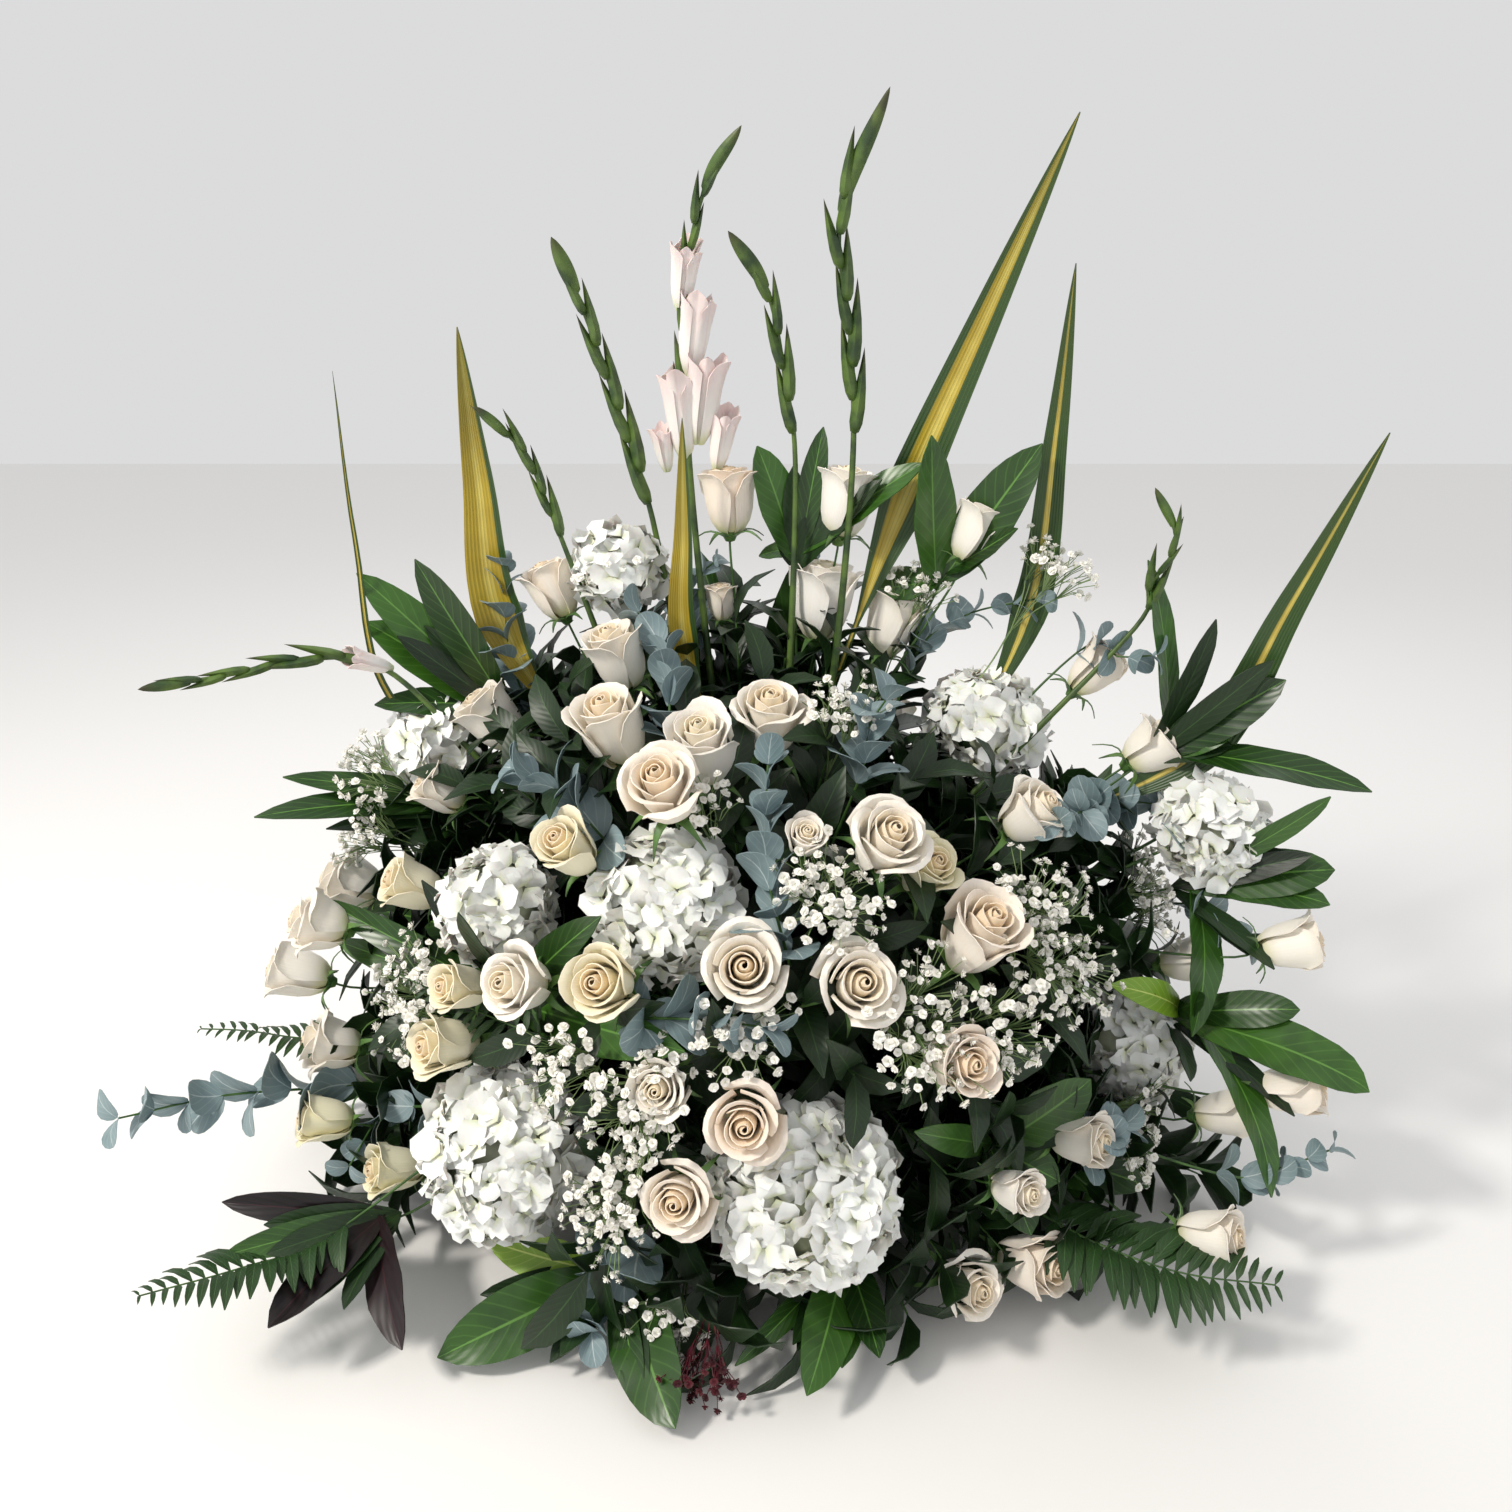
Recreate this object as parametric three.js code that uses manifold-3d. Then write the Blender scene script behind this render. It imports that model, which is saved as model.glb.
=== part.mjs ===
// A funeral bouquet: roses, hydrangeas and gladioli with eucalyptus, baby's breath, fern and glossy leaves,
// fanned out of wet foam that stands in a low round tray. Millimetres, +Z up, front towards -Y.
// The origin is the middle of the tray's underside, on the surface that the bouquet stands on.
import * as THREE from "three";
import { ConvexHull } from "three/addons/math/ConvexHull.js";
import { mergeVertices } from "three/addons/utils/BufferGeometryUtils.js";
import Module from "manifold-3d";

const wasm = await Module();
wasm.setup();

// Driving dimensions
const TRAY = { rim: 148, foot: 130, height: 58, wall: 3.5, floor: 4, sides: 18 };
const FOAM = { width: 190, depth: 150, height: 236, chamfer: 24 };
const HUB = new THREE.Vector3(0, 0, 150); // the point in the foam that every stem aims at
const DOME = { side: 375, front: 330, back: 235, up: 425, down: 200 }; // reach of the blooms from the hub
const STEM_END = 42; // how far from the hub a stem's cut end stops, inside the foam
const FORK = 14; // how far outside the foam the stems of one bunch part
const TRUNK_TURN = 12.5; // least angle between two bunches where they enter the foam, in degrees
const FIT = 0.35; // gap that two separate pieces keep
const PARTED = 30; // how far outside the foam the stems of one bunch have parted
const STEM_ROOM = 1; // wider gap that two stems keep on their way out
const BOW = 9; // step by which a stem bows aside to pass another, in millimetres
const LIFT = 0.035; // step by which a sprig lies further out to pass over a bloom, as a share of its reach
const SPRAY_STALKS = 6; // stalks that part from the end of a spray's stem
const KNOT = 3.4; // half-width of the place where they part
const TRUNK_FLARE = 2; // how much wider a trunk is where its stems part than at its cut end
const KNOT_DEPTH = 3.6; // how far it tapers back down the stem
const FLORET = 10; // width of a floret of baby's breath
const BERRY = 8; // width of a berry
const BLADE = 2; // thickness of a blade at its midrib
const KEEL = 0.6; // how far the midrib of a long blade stands out below it as well
const LEAF_TURN = 7; // step by which a leaf turns aside, in degrees
const FLOOR = 5; // the lowest that a leaf or a bloom lies over the surface
const LOWEST_FACE = 0.35; // blooms near the surface still turn up to the light
const ROOM = { rose: 0.56, head: 0.48 }; // radius of the ball that a bloom keeps clear, as a share of its width
const ROUNDS = 60; // times that the blooms ease apart
const FACETS = 6; // sides of round leaves and open gladiolus blooms

// Layers: how far out things lie, 1 being the face of the blooms and 0 the hub. Where there are several
// numbers, they go from root to tip.
const LAYERS = {
  rose: 1,
  head: 0.9,
  gladiolus: [0.85, 1],
  sword: [0.8, 1],
  eucalyptus: [0.92, 1.06],
  fern: [0.86, 1.04],
  shoot: 0.8,
  spray: [0.7, 0.8, 1.03],
  backSprig: [0.8, 0.95, 1.1],
  backShoot: 0.72,
  backLeaf: 1.15,
};

// The front view that places are read in: an eye in front of the bouquet and above it, looking down at it.
const VIEW = { eye: new THREE.Vector3(0, -1100, 828), pitch: 20, focal: 1231, middle: 756 };

// Places, read off the front view as [across, down], then sizes in millimetres.
const ROSES = [
  [[728, 500, 54], [845, 502, 58], [975, 532, 50], [720, 602, 32]],
  [[890, 623, 58], [822, 600, 64], [765, 722, 70], [708, 748, 58]],
  [[617, 658, 54], [553, 590, 50], [612, 730, 60], [663, 790, 68]],
  [[493, 720, 56], [570, 850, 48], [440, 792, 42], [413, 887, 48]],
  [[350, 885, 66], [318, 925, 60], [298, 975, 52]],
  [[330, 1045, 62], [325, 1120, 44], [395, 1170, 46], [448, 1045, 50]],
  [[520, 985, 62], [462, 988, 42], [608, 985, 54], [663, 1085, 44]],
  [[745, 970, 68], [855, 985, 70], [745, 1120, 62], [680, 1195, 60]],
  [[885, 843, 68], [925, 872, 46], [805, 840, 32], [1030, 815, 62]],
  [[977, 938, 70], [955, 1060, 54], [1080, 1140, 48]],
  [[965, 1285, 60], [1030, 1262, 56], [1015, 1190, 40]],
  [[1153, 748, 62], [1095, 670, 50], [1290, 945, 50], [1190, 960, 50]],
  [[1225, 1113, 48], [1290, 1090, 54], [1210, 1235, 48]],
];
const HYDRANGEAS = [
  [505, 1150, 162], [805, 1190, 168], [665, 905, 128], [497, 905, 104], [985, 725, 120],
  [1210, 830, 104], [1130, 1040, 120], [432, 742, 88], [618, 566, 84],
];
// Gladioli: the spike from where it leaves the other flowers to its tip, then its buds and its open blooms.
const GLADIOLI = [
  { path: [[697, 470], [690, 300], [712, 190], [750, 125]], buds: 9, open: 4, bud: 52 },
  { path: [[850, 470], [846, 340], [846, 205], [895, 80]], buds: 8, open: 0, bud: 66 },
  { path: [[640, 520], [606, 390], [575, 300], [537, 240]], buds: 8, open: 0, bud: 62 },
  { path: [[795, 470], [786, 380], [768, 295], [728, 232]], buds: 8, open: 0, bud: 52 },
  { path: [[572, 560], [545, 500], [522, 448], [478, 405]], buds: 7, open: 0, bud: 42 },
  { path: [[385, 680], [300, 664], [225, 680], [132, 697]], buds: 8, open: 1, bud: 46 },
  { path: [[1130, 625], [1150, 585], [1177, 540], [1150, 485]], buds: 5, open: 0, bud: 40 },
];
// Striped sword leaves: the middle line and the width.
const SWORDS = [
  [
    { path: [[500, 620], [478, 480], [457, 327]], width: 44 },
    { path: [[392, 700], [340, 560], [299, 410]], width: 9 },
  ],
  [
    { path: [[684, 640], [683, 530], [682, 418]], width: 26 },
    { path: [[905, 500], [985, 320], [1080, 112]], width: 46 },
  ],
  [
    { path: [[1030, 610], [1078, 450], [1125, 285]], width: 34 },
    { path: [[1200, 750], [1290, 600], [1385, 425]], width: 40 },
  ],
];
// Eucalyptus: each sprig's stalk from root to tip, its leaf width and its pairs of leaves.
const EUCALYPTUS = [
  [
    { path: [[535, 720], [508, 655], [500, 575]], width: 42, pairs: 4 },
    { path: [[600, 835], [560, 790], [515, 770]], width: 46, pairs: 3 },
  ],
  [
    { path: [[672, 740], [668, 665], [640, 612]], width: 40, pairs: 3 },
    { path: [[705, 640], [692, 590], [718, 566]], width: 32, pairs: 3 },
  ],
  [
    { path: [[788, 960], [765, 860], [768, 765]], width: 44, pairs: 4 },
    { path: [[862, 770], [868, 728], [886, 700]], width: 42, pairs: 3 },
  ],
  [
    { path: [[915, 655], [965, 615], [1035, 598]], width: 34, pairs: 3 },
    { path: [[1080, 650], [1118, 640], [1152, 660]], width: 32, pairs: 3 },
  ],
  [
    { path: [[1180, 822], [1120, 812], [1060, 820]], width: 40, pairs: 3 },
    { path: [[1160, 905], [1205, 912], [1245, 935]], width: 40, pairs: 3 },
  ],
  [
    { path: [[1050, 1150], [1085, 1122], [1122, 1135]], width: 42, pairs: 3 },
    { path: [[1225, 1175], [1285, 1165], [1330, 1150]], width: 30, pairs: 3 },
  ],
  [
    { path: [[640, 1240], [602, 1280], [590, 1330]], width: 46, pairs: 3 },
    { path: [[640, 1012], [700, 1012], [765, 1025]], width: 40, pairs: 3 },
  ],
  [
    { path: [[440, 1100], [385, 1108], [350, 1165]], width: 36, pairs: 3 },
    { path: [[345, 1085], [225, 1095], [118, 1118]], width: 44, pairs: 4 },
  ],
];
// Leafy shoots: the point where the leaves part, then each leaf's tip and width.
const SHOOTS = [
  [
    { part: [505, 705], leaves: [[350, 583, 40], [362, 628, 42], [452, 535, 34], [375, 718, 32]] },
    { part: [495, 800], leaves: [[384, 842, 40], [288, 757, 26], [255, 793, 22], [262, 838, 30]] },
  ],
  [
    { part: [800, 545], leaves: [[757, 446, 40], [822, 428, 24], [900, 452, 34], [752, 560, 20]] },
    { part: [945, 570], leaves: [[945, 430, 44], [1062, 458, 50], [872, 590, 40], [1040, 520, 30]] },
  ],
  [
    { part: [1170, 745], leaves: [[1286, 680, 40], [1240, 705, 40], [1372, 792, 34], [1148, 560, 26]] },
    { part: [1195, 880], leaves: [[1352, 873, 44], [1312, 824, 20], [1330, 905, 34], [1168, 1042, 38]] },
  ],
  [
    { part: [1190, 1010], leaves: [[1372, 1092, 52], [1300, 1010, 34], [1110, 985, 30], [1290, 1190, 34]] },
    { part: [1000, 1145], leaves: [[1060, 1182, 42], [1042, 1252, 44], [915, 1132, 26], [1075, 1092, 46]] },
  ],
  [
    { part: [850, 1250], leaves: [[842, 1368, 38], [888, 1362, 32], [812, 1408, 44], [735, 1366, 20]] },
    { part: [610, 1275], leaves: [[655, 1432, 56], [585, 1420, 24], [433, 1332, 54], [488, 1240, 38]] },
  ],
  [
    { part: [375, 1215], leaves: [[222, 1256, 26], [222, 1202, 26], [268, 1328, 40], [402, 1350, 36]] },
    { part: [505, 1000], leaves: [[328, 912, 28], [335, 940, 30], [622, 928, 34], [700, 1072, 44]] },
  ],
];
// Fern fronds: the rib from root to tip, then the width and the pairs of leaflets.
const FERNS = [
  [
    { path: [[330, 1235], [240, 1280], [135, 1322]], width: 74, pairs: 11 },
    { path: [[560, 1042], [470, 1008], [400, 975]], width: 46, pairs: 7 },
    { path: [[330, 1040], [240, 1044], [185, 1056]], width: 50, pairs: 7 },
  ],
  [{ path: [[1060, 1225], [1170, 1270], [1275, 1285]], width: 104, pairs: 10 }],
];
// Baby's breath: the middle of each spray and its width.
const SPRAYS = [
  [[340, 745, 60], [350, 812, 80], [400, 1000, 100]],
  [[600, 540, 90], [930, 560, 60], [1085, 520, 70]],
  [[850, 700, 60], [835, 890, 90], [700, 795, 50], [740, 1040, 70]],
  [[1060, 930, 120], [1165, 885, 90], [1150, 1130, 100], [1010, 1035, 70], [925, 1030, 100]],
  [[640, 1110, 90], [610, 1205, 90], [560, 1065, 70], [670, 1325, 70]],
];
const BERRIES = [[700, 1385, 60]];
// What covers the back, by its compass angle from the front and its height angle
const BACK = {
  roses: [[140, 50, 56], [165, 26, 58], [196, 40, 60], [230, 30, 56]],
  hydrangea: [182, 8, 120],
  eucalyptus: [[150, 66, 38], [214, 58, 40]],
  shoots: [
    { part: [150, 30], leaves: [[112, 14], [128, 44], [142, 2], [172, 58]] },
    { part: [210, 26], leaves: [[196, -4], [222, 2], [248, 22], [236, 50]] },
    { part: [246, 4], leaves: [[262, 12], [232, -12], [250, -20], [258, 36]] },
    { part: [114, 2], leaves: [[98, 8], [128, -14], [108, -18], [100, 34]] },
    { part: [176, 64], leaves: [[140, 80], [166, 40], [216, 78], [196, 46]] },
    { part: [84, -8], leaves: [[70, -14], [80, -19], [94, -16], [82, -2]] },
    { part: [276, -8], leaves: [[290, -14], [280, -19], [266, -16], [278, -2]] },
    { part: [58, -12], leaves: [[48, -18], [58, -22], [68, -20], [60, -8]] },
    { part: [156, -8], leaves: [[144, -16], [156, -20], [170, -16], [150, 4]] },
    { part: [208, -8], leaves: [[216, -18], [204, -22], [190, -16], [212, 6]] },
  ],
  leaf: 52,
};

// Colours and finish
const finish = (color, roughness) => new THREE.MeshStandardMaterial({ color, roughness, metalness: 0 });
const FINISH = {
  tray: finish(0x1d3324, 0.45),
  foam: finish(0x2f5a3c, 0.95),
  rose: finish(0xf0e2cd, 0.6),
  hydrangea: finish(0xf1f2ee, 0.65),
  gladiolus: finish(0x5f7f3a, 0.5),
  sword: finish(0xa5963c, 0.45),
  eucalyptus: finish(0x6d8b8c, 0.7),
  shoot: finish(0x24491f, 0.35),
  fern: finish(0x2c4a2a, 0.5),
  spray: finish(0xf3f1e8, 0.7),
  berries: finish(0x4a1620, 0.6),
};

const UP = new THREE.Vector3(0, 0, 1);
const RADIANS = Math.PI / 180;
const GOLDEN = Math.PI * (3 - Math.sqrt(5));

// Vector shorthand
const mix = (a, b, share) => a.clone().lerp(b, share);
const along = (point, direction, distance) => point.clone().addScaledVector(direction, distance);
const towards = (from, to) => to.clone().sub(from).normalize();
const across = (a, b) => new THREE.Vector3().crossVectors(a, b).normalize();
const sumOf = (points) => points.reduce((sum, point) => sum.add(point), new THREE.Vector3());
const mean = (points) => sumOf(points).divideScalar(points.length);
const repeat = (count, make) => Array.from({ length: count }, (_, i) => make(i));
const sideOf = (way) => across(way, Math.abs(way.z) > 0.9 ? new THREE.Vector3(1, 0, 0) : UP);

// A repeatable draw of numbers from 0 to 1
function draws(seed) {
  let state = seed * 7919 + 1;
  return () => {
    state = (Math.imul(state, 1664525) + 1013904223) | 0;
    return (state >>> 8) / 16777216;
  };
}

// Places on the bouquet's round face

// How far out a point is: 1 on the face of the blooms, 0 at the hub.
function levelOf(point) {
  const p = point.clone().sub(HUB);
  const depth = p.y < 0 ? DOME.front : DOME.back;
  const height = p.z > 0 ? DOME.up : DOME.down;
  return Math.hypot(p.x / DOME.side, p.y / depth, p.z / height);
}

// The direction in which the eye sees (h, v).
function sight([h, v]) {
  const pitch = VIEW.pitch * RADIANS;
  const right = (h - VIEW.middle) / VIEW.focal;
  const down = (v - VIEW.middle) / VIEW.focal;
  const forward = Math.cos(pitch) - Math.sin(pitch) * down;
  return new THREE.Vector3(right, forward, -Math.sin(pitch) - Math.cos(pitch) * down).normalize();
}

// The point seen at (h, v) that lies on the face at the given layer, or passes it closest.
function place(seen, layer = 1) {
  const line = sight(seen);
  const last = line.z < 0 ? (FLOOR - VIEW.eye.z) / line.z : Infinity;
  let best = along(VIEW.eye, line, 1);
  for (let t = 500; t < 1900; t += 2) {
    const p = along(VIEW.eye, line, Math.min(t, last));
    if (levelOf(p) < levelOf(best)) best = p;
    if (levelOf(p) <= layer || t > last) break;
  }
  return best;
}

// The point on the face at a compass angle from the front and a height angle.
function bearing([compass, height], layer = 1) {
  const turn = compass * RADIANS;
  const lift = height * RADIANS;
  const level = Math.cos(lift);
  const way = new THREE.Vector3(Math.sin(turn) * level, -Math.cos(turn) * level, Math.sin(lift));
  return along(HUB, way, layer / levelOf(HUB.clone().add(way)));
}

// The way a bloom there faces: straight out, and never far down.
function facing(point) {
  const way = towards(HUB, point);
  way.z = Math.max(way.z, LOWEST_FACE);
  return way.normalize();
}

// From three.js geometry to solids and back

function solid(geometry) {
  const bare = new THREE.BufferGeometry().setAttribute("position", geometry.getAttribute("position").clone());
  if (geometry.index) bare.setIndex(geometry.index.clone());
  const merged = mergeVertices(bare, 1e-4);
  const corners = merged.index.array;
  const kept = [];
  for (let i = 0; i < corners.length; i += 3) {
    const [a, b, c] = [corners[i], corners[i + 1], corners[i + 2]];
    if (a !== b && b !== c && c !== a) kept.push(a, b, c);
  }
  const vertProperties = new Float32Array(merged.attributes.position.array);
  return new wasm.Manifold(new wasm.Mesh({ numProp: 3, vertProperties, triVerts: new Uint32Array(kept) }));
}

function geometryOf(manifold) {
  const mesh = manifold.getMesh();
  const geometry = new THREE.BufferGeometry();
  geometry.setAttribute("position", new THREE.BufferAttribute(new Float32Array(mesh.vertProperties), 3));
  geometry.setIndex(new THREE.BufferAttribute(new Uint32Array(mesh.triVerts), 1));
  geometry.computeVertexNormals();
  return geometry;
}

// A closed body of rings of corners, from a first point to a last one, or to a flat end if there is none.
function skin(first, rings, last) {
  const count = rings[0].length;
  const top = rings.length - 1;
  const corner = (ring, i) => 1 + ring * count + (i % count);
  const faces = [];
  for (let i = 0; i < count; i += 1) {
    faces.push(0, corner(0, i + 1), corner(0, i));
    for (let r = 0; r < top; r += 1) {
      const [a, b, c, d] = [corner(r, i), corner(r, i + 1), corner(r + 1, i + 1), corner(r + 1, i)];
      if (i % 2 === 0) faces.push(a, b, c, a, c, d);
      else faces.push(a, b, d, b, c, d);
    }
    if (last) faces.push(1 + rings.length * count, corner(top, i), corner(top, i + 1));
    else if (i > 0 && i + 1 < count) faces.push(corner(top, 0), corner(top, i), corner(top, i + 1));
  }
  const points = [first, ...rings.flat()];
  if (last) points.push(last);
  return solid(new THREE.BufferGeometry().setFromPoints(points).setIndex(faces));
}

// Stands a geometry made along +Z on a point, facing a way.
function stood(geometry, point, way) {
  const turn = new THREE.Quaternion().setFromUnitVectors(UP, way);
  return geometry.applyQuaternion(turn).translate(point.x, point.y, point.z);
}

// A line of straight pieces, whose sections stand at its own points.
class Chain extends THREE.Curve {
  constructor(points) {
    super();
    this.points = points;
  }

  getPoint(t) {
    const s = t * (this.points.length - 1);
    const i = Math.min(Math.floor(s), this.points.length - 2);
    return mix(this.points[i], this.points[i + 1], s - i);
  }

  getPointAt(t) {
    return this.getPoint(t);
  }

  getTangentAt(t) {
    const i = Math.round(t * (this.points.length - 1));
    const before = this.points[Math.max(i - 1, 0)];
    const after = this.points[Math.min(i + 1, this.points.length - 1)];
    return towards(before, after);
  }

  // The point at a share of the whole length, and the way that the line runs there.
  atShare(share) {
    const lengths = this.points.slice(1).map((point, i) => point.distanceTo(this.points[i]));
    let left = share * lengths.reduce((sum, length) => sum + length, 0);
    let i = 0;
    while (i + 1 < lengths.length && left > lengths[i]) {
      left -= lengths[i];
      i += 1;
    }
    const [from, to] = [this.points[i], this.points[i + 1]];
    return { point: mix(from, to, left / lengths[i]), way: towards(from, to) };
  }
}

// Plant parts. Each takes grow, which swells it to the room that other pieces leave it.

function stem(points, radius, sides, grow) {
  const reach = radius + grow / Math.cos(Math.PI / sides);
  const corners = [];
  for (let i = 0; i < sides; i += 1) {
    const turn = (2 * Math.PI * i) / sides;
    corners.push(new THREE.Vector2(reach * Math.cos(turn), reach * Math.sin(turn)));
  }
  const sweep = { steps: points.length - 1, extrudePath: new Chain(points) };
  return solid(new THREE.ExtrudeGeometry(new THREE.Shape(corners), sweep));
}

// Draws a three-sided limb out of one triangle of a skin, along a path, to a flat end or to a tip. The limb
// is turned as the triangle's own corners lie before it is swelled.
function growLimb(points, faces, base, corners, path, radius, tip) {
  const middle = mean(corners);
  const outward = corners.map((corner) => towards(middle, corner));
  let facingWay = across(towards(corners[0], corners[1]), towards(corners[0], corners[2]));
  let ring = base;
  path.forEach((point, i) => {
    const way = towards(path[i - 1] ?? middle, path[i + 1] ?? point);
    const turn = new THREE.Quaternion().setFromUnitVectors(facingWay, way);
    facingWay = way;
    const next = outward.map((out) => points.push(along(point, out.applyQuaternion(turn), radius)) - 1);
    for (let k = 0; k < 3; k += 1) {
      const [a, b, c, d] = [ring[k], ring[(k + 1) % 3], next[(k + 1) % 3], next[k]];
      faces.push(a, b, c, a, c, d);
    }
    ring = next;
  });
  if (!tip) {
    faces.push(...ring);
    return;
  }
  const last = points.push(tip) - 1;
  for (let k = 0; k < 3; k += 1) faces.push(ring[k], ring[(k + 1) % 3], last);
}

// Corners evenly round a point, in a plane square to a way.
function cornersRound(point, way, count, radius, first = 0) {
  const side = sideOf(way);
  const other = across(way, side);
  return repeat(count, (i) => {
    const turn = first + (2 * Math.PI * i) / count;
    return along(along(point, side, radius * Math.cos(turn)), other, radius * Math.sin(turn));
  });
}

const isUpright = (width) => width < 58; // a slim bloom, taller than it is wide
const roseHeight = (width) => width * (isUpright(width) ? 1.05 : 0.88);

// A rose: a cup of outer petals round as many closer ones and a heart, as folds in one skin.
function roseHead(base, way, width, grow) {
  const radius = width / 2;
  const petals = width < 69 ? 4 : 5;
  const height = roseHeight(width);
  const rings = [
    ...(isUpright(width) ? [{ r: 0.72, z: 0.2, wave: 0.03, lift: 0 }] : []),
    { r: 0.98, z: isUpright(width) ? 0.76 : 0.68, wave: 0.1, lift: 0.05 },
    { r: 0.6, z: 0.72, wave: 0.05, lift: 0.02 },
    { r: 0.48, z: 1, wave: -0.12, lift: -0.04 },
  ];
  const profile = rings.map(({ r, z }) => {
    return new THREE.Vector2(radius * r + grow, height * z + (z > 0.5 ? grow : 0));
  });
  const bottom = new THREE.Vector2(0, -grow);
  const heart = new THREE.Vector2(0, height * 0.84 + grow);
  const lathe = new THREE.LatheGeometry([bottom, ...profile, heart], 2 * petals);
  const at = lathe.getAttribute("position");
  for (let i = 0; i < at.count; i += 1) {
    const ring = rings[(i % (rings.length + 2)) - 1];
    if (!ring) continue;
    const petal = Math.cos(petals * Math.atan2(at.getX(i), at.getZ(i)));
    at.setX(i, at.getX(i) * (1 + ring.wave * petal));
    at.setZ(i, at.getZ(i) * (1 + ring.wave * petal));
    at.setY(i, at.getY(i) + ring.lift * height * petal);
  }
  return solid(stood(lathe.rotateX(Math.PI / 2), base, way));
}

// A round head of four-petalled florets. Each floret's middle, petal tips and the notches between them are
// corners on a ball, joined as they lie round it and then set at their own depths.
function hydrangeaHead(middle, way, width, seed, grow) {
  const next = draws(seed);
  const florets = Math.round(5 + width / 26);
  const depths = new Map();
  const corner = (direction, depth) => depths.set(direction.normalize(), depth);
  for (let i = 0; i < florets; i += 1) {
    const height = 1 - (1.74 * (i + 0.5)) / florets;
    const ring = Math.sqrt(1 - height * height);
    const centre = new THREE.Vector3(ring * Math.cos(i * GOLDEN), ring * Math.sin(i * GOLDEN), height);
    const side = sideOf(centre);
    const other = across(centre, side);
    const twist = next() * Math.PI;
    corner(centre.clone(), 0.86);
    for (let k = 0; k < 8; k += 1) {
      const turn = twist + (k * Math.PI) / 4;
      const spread = k % 2 ? 0.24 : 0.4;
      const out = along(along(centre, side, spread * Math.cos(turn)), other, spread * Math.sin(turn));
      corner(out, k % 2 ? 0.8 : 0.93 + 0.07 * next());
    }
  }
  corner(new THREE.Vector3(0, 0, -1), 0.62);
  const hull = new ConvexHull().setFromPoints([...depths.keys()]);
  const points = [];
  for (const face of hull.faces) {
    let edge = face.edge;
    do {
      const direction = edge.head().point;
      points.push(direction.clone().multiplyScalar((depths.get(direction) * width) / 2 + grow));
      edge = edge.next;
    } while (edge !== face.edge);
  }
  return solid(stood(new THREE.BufferGeometry().setFromPoints(points).scale(1, 1, 0.88), middle, way));
}

// A leaf along a line of points: a raised midrib, edges level with the underside, and where it may twist a
// keel below, so that both faces split alike. Sweep moves the edges on along the leaf, as leaflets lean.
function leaf(line, halfWidths, face, { sweep = 0, keel = 0 }, grow) {
  const rings = [];
  for (let i = 1; i + 1 < line.length; i += 1) {
    const way = towards(line[i - 1], line[i + 1]);
    const side = across(way, face);
    const normal = across(side, way);
    const half = halfWidths[i] + 3 * grow;
    const edge = along(along(line[i], normal, -BLADE / 2), way, halfWidths[i] * sweep);
    const rib = along(line[i], normal, BLADE / 2 + grow);
    const ring = [along(edge, side, -half), rib, along(edge, side, half)];
    if (keel + grow > 0) ring.push(along(line[i], normal, -BLADE / 2 - keel - grow));
    rings.push(ring);
  }
  const end = along(line[0], towards(line[1], line[0]), 2 * grow);
  const tip = along(line.at(-1), towards(line.at(-2), line.at(-1)), 2 * grow);
  return skin(end, rings, tip);
}

// A round leaf that grows from a point: a rim of six corners, one of them at the root, and a low middle.
function coin(root, way, face, width, grow) {
  const side = across(way, face);
  const normal = across(side, way);
  const middle = along(root, way, width * 0.53);
  const rim = [];
  for (let i = 0; i < FACETS; i += 1) {
    const turn = (2 * Math.PI * i) / FACETS;
    const reach = width * (0.5 + 0.03 * Math.cos(2 * turn)) + 3 * grow;
    rim.push(along(along(middle, way, reach * Math.cos(turn)), side, reach * Math.sin(turn)));
  }
  const under = grow > 0 ? along(middle, normal, -grow) : undefined;
  return skin(along(middle, normal, BLADE + grow), [rim], under);
}

// A bud, floret or berry on its stalk: a spindle whose widest ring lies at a share of its length.
function bud(base, way, length, width, sides, widest, grow) {
  const side = sideOf(way);
  const other = across(way, side);
  const middle = along(base, way, length * widest);
  const ring = [];
  for (let i = 0; i < sides; i += 1) {
    const turn = (2 * Math.PI * i) / sides;
    const reach = width / 2 + grow;
    ring.push(along(along(middle, side, reach * Math.cos(turn)), other, reach * Math.sin(turn)));
  }
  return skin(along(base, way, -grow), [ring], along(base, way, length + 2 * grow));
}

// A half-open bloom of a gladiolus: a narrow trumpet with a flared mouth and a closed throat.
function trumpet(base, way, length, width, grow) {
  const shape = [[0, 0], [0.26, 0.4], [0.5, 1], [0, 0.72]];
  const profile = shape.map(([r, z]) => {
    return new THREE.Vector2(r * width + (r > 0 ? grow : 0), z * length + (z > 0.7 ? 2 * grow : 0));
  });
  return solid(stood(new THREE.LatheGeometry(profile, FACETS).rotateX(Math.PI / 2), base, way));
}

// Blooms are first set where they are seen, and then ease apart along the line of sight until none
// sinks deep into its neighbour.
const blooms = [];

function bloom(name, home, line, width, isRose) {
  const radius = (isRose ? ROOM.rose : ROOM.head) * width;
  const entry = { name, at: home.clone(), home, line, width, radius };
  blooms.push(entry);
  return entry;
}

function easeApart(rounds) {
  for (let round = 0; round < rounds; round += 1) {
    for (const a of blooms) {
      for (const b of blooms) {
        const gap = a.at.distanceTo(b.at) - (a.radius + b.radius);
        if (a === b || gap >= 0) continue;
        const way = towards(b.at, a.at);
        const share = b.width / (a.width + b.width);
        a.at.addScaledVector(way, -gap * share * 0.5);
        b.at.addScaledVector(way, gap * (1 - share) * 0.5);
      }
    }
    for (const entry of blooms) {
      const onLine = along(entry.home, entry.line, entry.at.clone().sub(entry.home).dot(entry.line));
      entry.at = mix(entry.at, onLine, 0.4);
      entry.at.z = Math.max(entry.at.z, FLOOR + entry.radius);
    }
  }
}

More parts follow.
